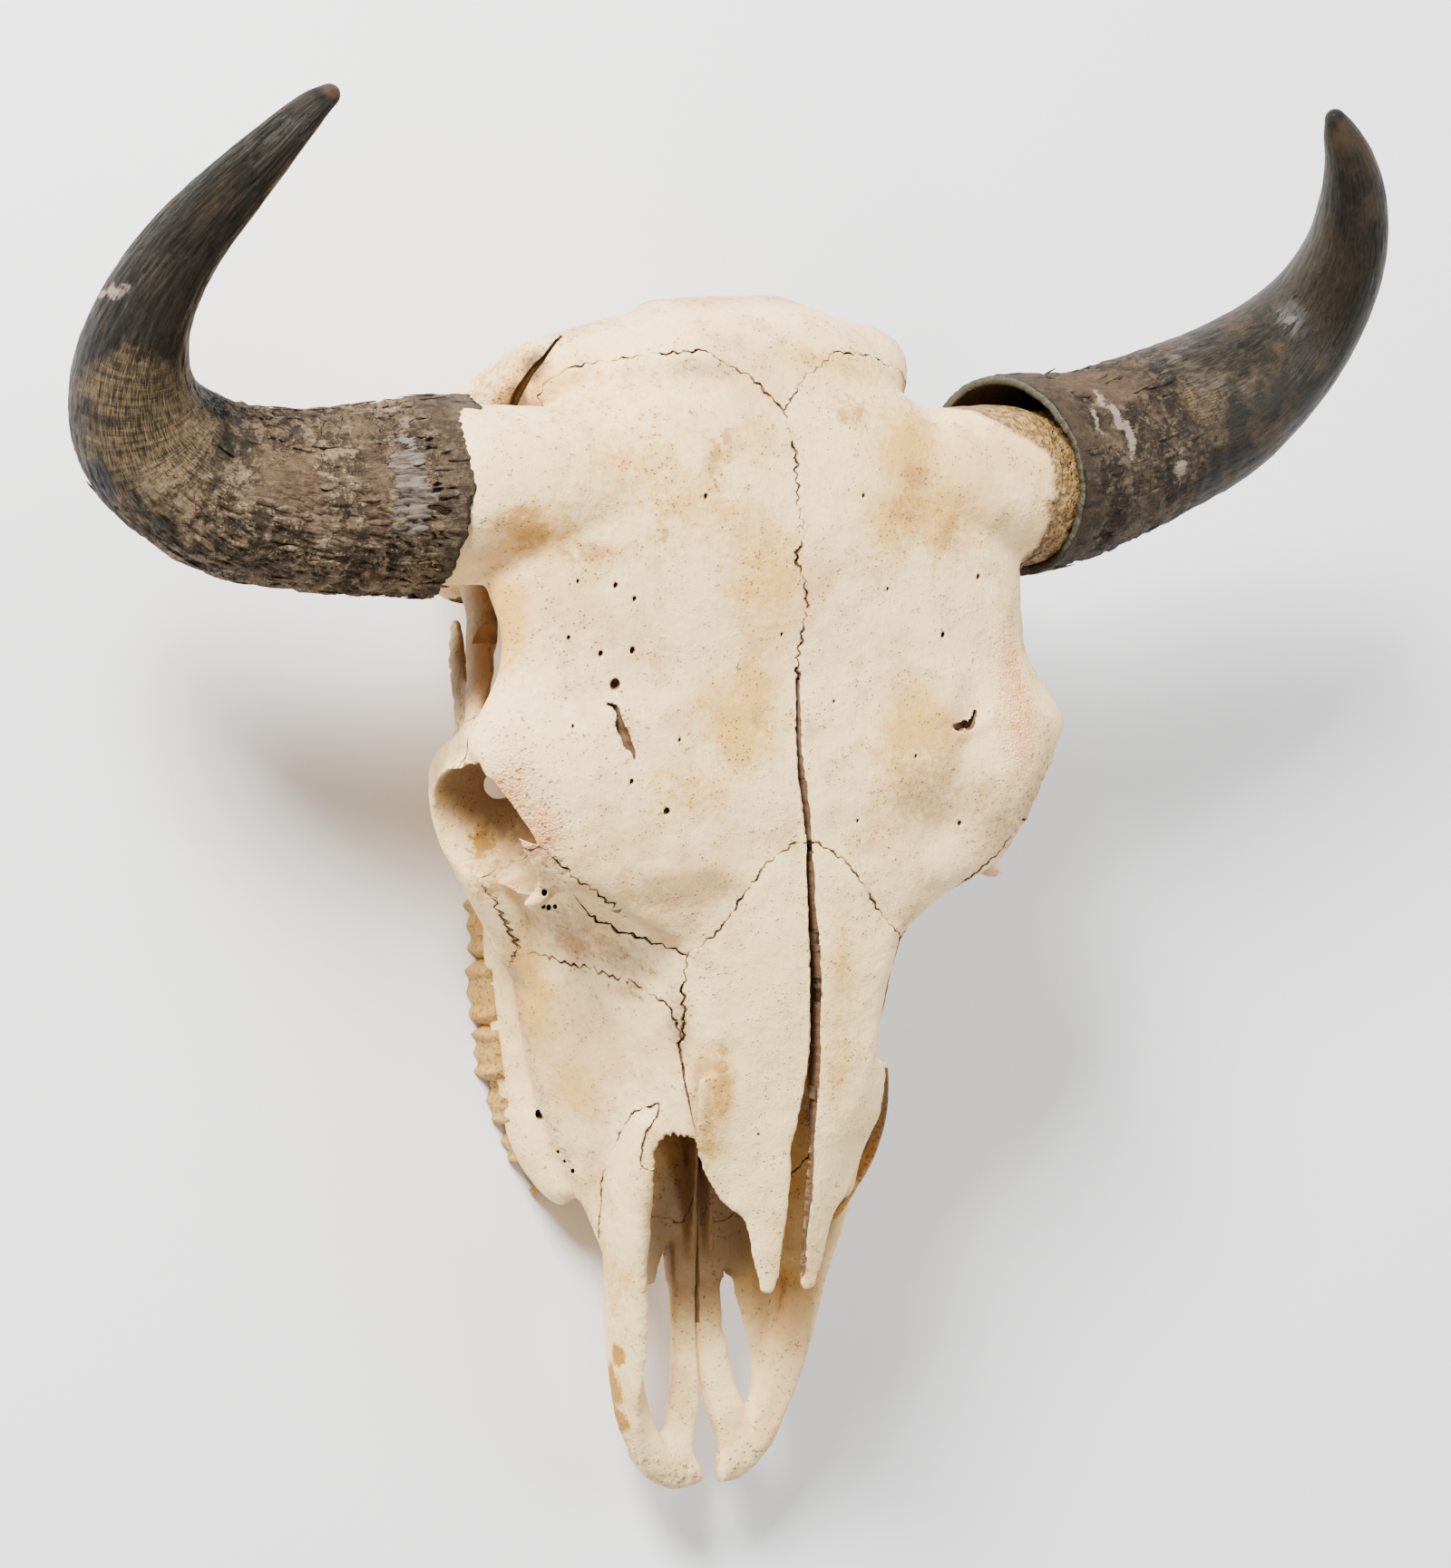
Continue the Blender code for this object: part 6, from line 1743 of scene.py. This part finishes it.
class SkullHorns(bpy.types.Operator):
    """Grow both horn sheaths along their rails and open their bases."""
    bl_idname = "skull.horns"
    bl_label = "Horn sheaths"

    def execute(self, context):
        sizes = context.scene.skull
        looks = {key: bpy.data.materials[name] for key, name in HORN_LOOKS.items()}
        for word, seed, bark, streaks, loose in (("right", 3.0, sizes.bark_right, 1, 1),
                                                 ("left", 8.0, sizes.bark_left, 0.5, 0.6)):
            sheath = horn_sheath(word, looks, seed, bark, sizes.streak * streaks)
            slivers = bark_slivers(sheath, word, looks, sizes.sliver_density * loose, SLIVER_SEED)
            for piece in (sheath, slivers):
                dressed(laid_down(piece), "horn_sheath_" + word)
            sheath.name = "horn_" + word
            sheath.data.name = sheath.name
        return {"FINISHED"}


# The photograph's camera in the frame of the forehead: its turns, the place it looks at, its distance, its
# focal length in pixels and the size of the picture.
VIEW_YAW = 31.0
VIEW_ROLL = 3.0
VIEW_POINT = (-28.5, 32.0, -17.0)
VIEW_DISTANCE = 1800.0
FOCAL_PIXELS = 4500.0
IMAGE_SIZE = (1600, 1729)
SENSOR = 36.0
# In metres: how far the floor reaches, how far the camera sees, and the lights with their places, sizes and
# shares of the main power.
FLOOR_REACH = 12
SIGHT = 30.0
WORLD_STRENGTH = 0.46
LIGHTS = (("main_light", (-1.5, 1.7, 1.7), 0.9, 1.0), ("fill_light", (1.6, 0.1, 1.7), 1.5, 0.16))


def lay_floor(colour):
    """A plain floor under the skull."""
    corners = [(x * FLOOR_REACH, y * FLOOR_REACH, 0) for x, y in ((-1, -1), (1, -1), (1, 1), (-1, 1))]
    data = bpy.data.meshes.new("floor")
    data.from_pydata(corners, [], [(0, 1, 2, 3)])
    plain = bpy.data.materials.new("Floor")
    plain.use_nodes = True
    shader = plain.node_tree.nodes["Principled BSDF"]
    shader.inputs["Base Color"].default_value = (*colour, 1)
    shader.inputs["Roughness"].default_value = 0.9
    data.materials.append(plain)
    linked("floor", data)


def set_camera(scene):
    """The camera that took the photograph."""
    yaw, roll = math.radians(VIEW_YAW), math.radians(VIEW_ROLL)
    right = Vector((math.cos(yaw), 0, math.sin(yaw)))
    up = Vector((0, 1, 0))
    back = Vector((-math.sin(yaw), 0, math.cos(yaw)))
    turned_right = right * math.cos(roll) - up * math.sin(roll)
    turned_up = up * math.cos(roll) + right * math.sin(roll)
    place = Matrix((turned_right, turned_up, back)).transposed().to_4x4()
    place.translation = (Vector(VIEW_POINT) + back * VIEW_DISTANCE) * MM
    camera = linked("camera", bpy.data.cameras.new("camera"))
    camera.matrix_world = rest_pose() @ place
    camera.data.sensor_fit = "AUTO"
    camera.data.sensor_width = SENSOR
    camera.data.lens = FOCAL_PIXELS / max(IMAGE_SIZE) * SENSOR
    camera.data.clip_end = SIGHT
    scene.camera = camera


def hang_lights(scene, power):
    """A white sky and two soft lights."""
    world = scene.world or bpy.data.worlds.new("studio")
    scene.world = world
    world.use_nodes = True
    sky = world.node_tree.nodes["Background"]
    sky.inputs["Color"].default_value = (1.0, 1.0, 1.0, 1.0)
    sky.inputs["Strength"].default_value = WORLD_STRENGTH
    for name, spot, size, share in LIGHTS:
        lamp = bpy.data.lights.new(name, "AREA")
        lamp.energy = power * share
        lamp.size = size
        made = linked(name, lamp)
        made.location = spot
        made.rotation_mode = "QUATERNION"
        made.rotation_quaternion = Vector(spot).to_track_quat("Z", "Y")


class SkullStage(bpy.types.Operator):
    """Lay the floor, set the camera and hang the soft lights."""
    bl_idname = "skull.stage"
    bl_label = "Stage"

    def execute(self, context):
        sizes = context.scene.skull
        lay_floor(sizes.floor_colour)
        set_camera(context.scene)
        hang_lights(context.scene, sizes.key_power)
        return {"FINISHED"}


STEPS = (SkullBones, SkullTeeth, SkullCores, SkullBoneFinish, SkullHorns, SkullStage)


class SkullPanel(bpy.types.Panel):
    """The sizes of the skull and the steps that build it."""
    bl_idname = "VIEW3D_PT_skull"
    bl_label = "Bison skull"
    bl_space_type = "VIEW_3D"
    bl_region_type = "UI"
    bl_category = "Skull"

    def draw(self, context):
        for name in SkullSettings.__annotations__:
            self.layout.prop(context.scene.skull, name)
        for step in STEPS:
            self.layout.operator(step.bl_idname)


CLASSES = (SkullSettings,) + STEPS + (SkullPanel,)


def register():
    """Make the settings, the operators and the panel known to Blender."""
    for part in CLASSES:
        bpy.utils.register_class(part)
    bpy.types.Scene.skull = PointerProperty(type=SkullSettings)


def unregister():
    """Take them out again."""
    del bpy.types.Scene.skull
    for part in reversed(CLASSES):
        bpy.utils.unregister_class(part)


def main():
    """Build the skull step by step."""
    register()
    bpy.ops.skull.bones()
    bpy.ops.skull.teeth()
    bpy.ops.skull.cores()
    bpy.ops.skull.bone_finish()
    bpy.ops.skull.horns()
    bpy.ops.skull.stage()


if __name__ == "__main__":
    main()
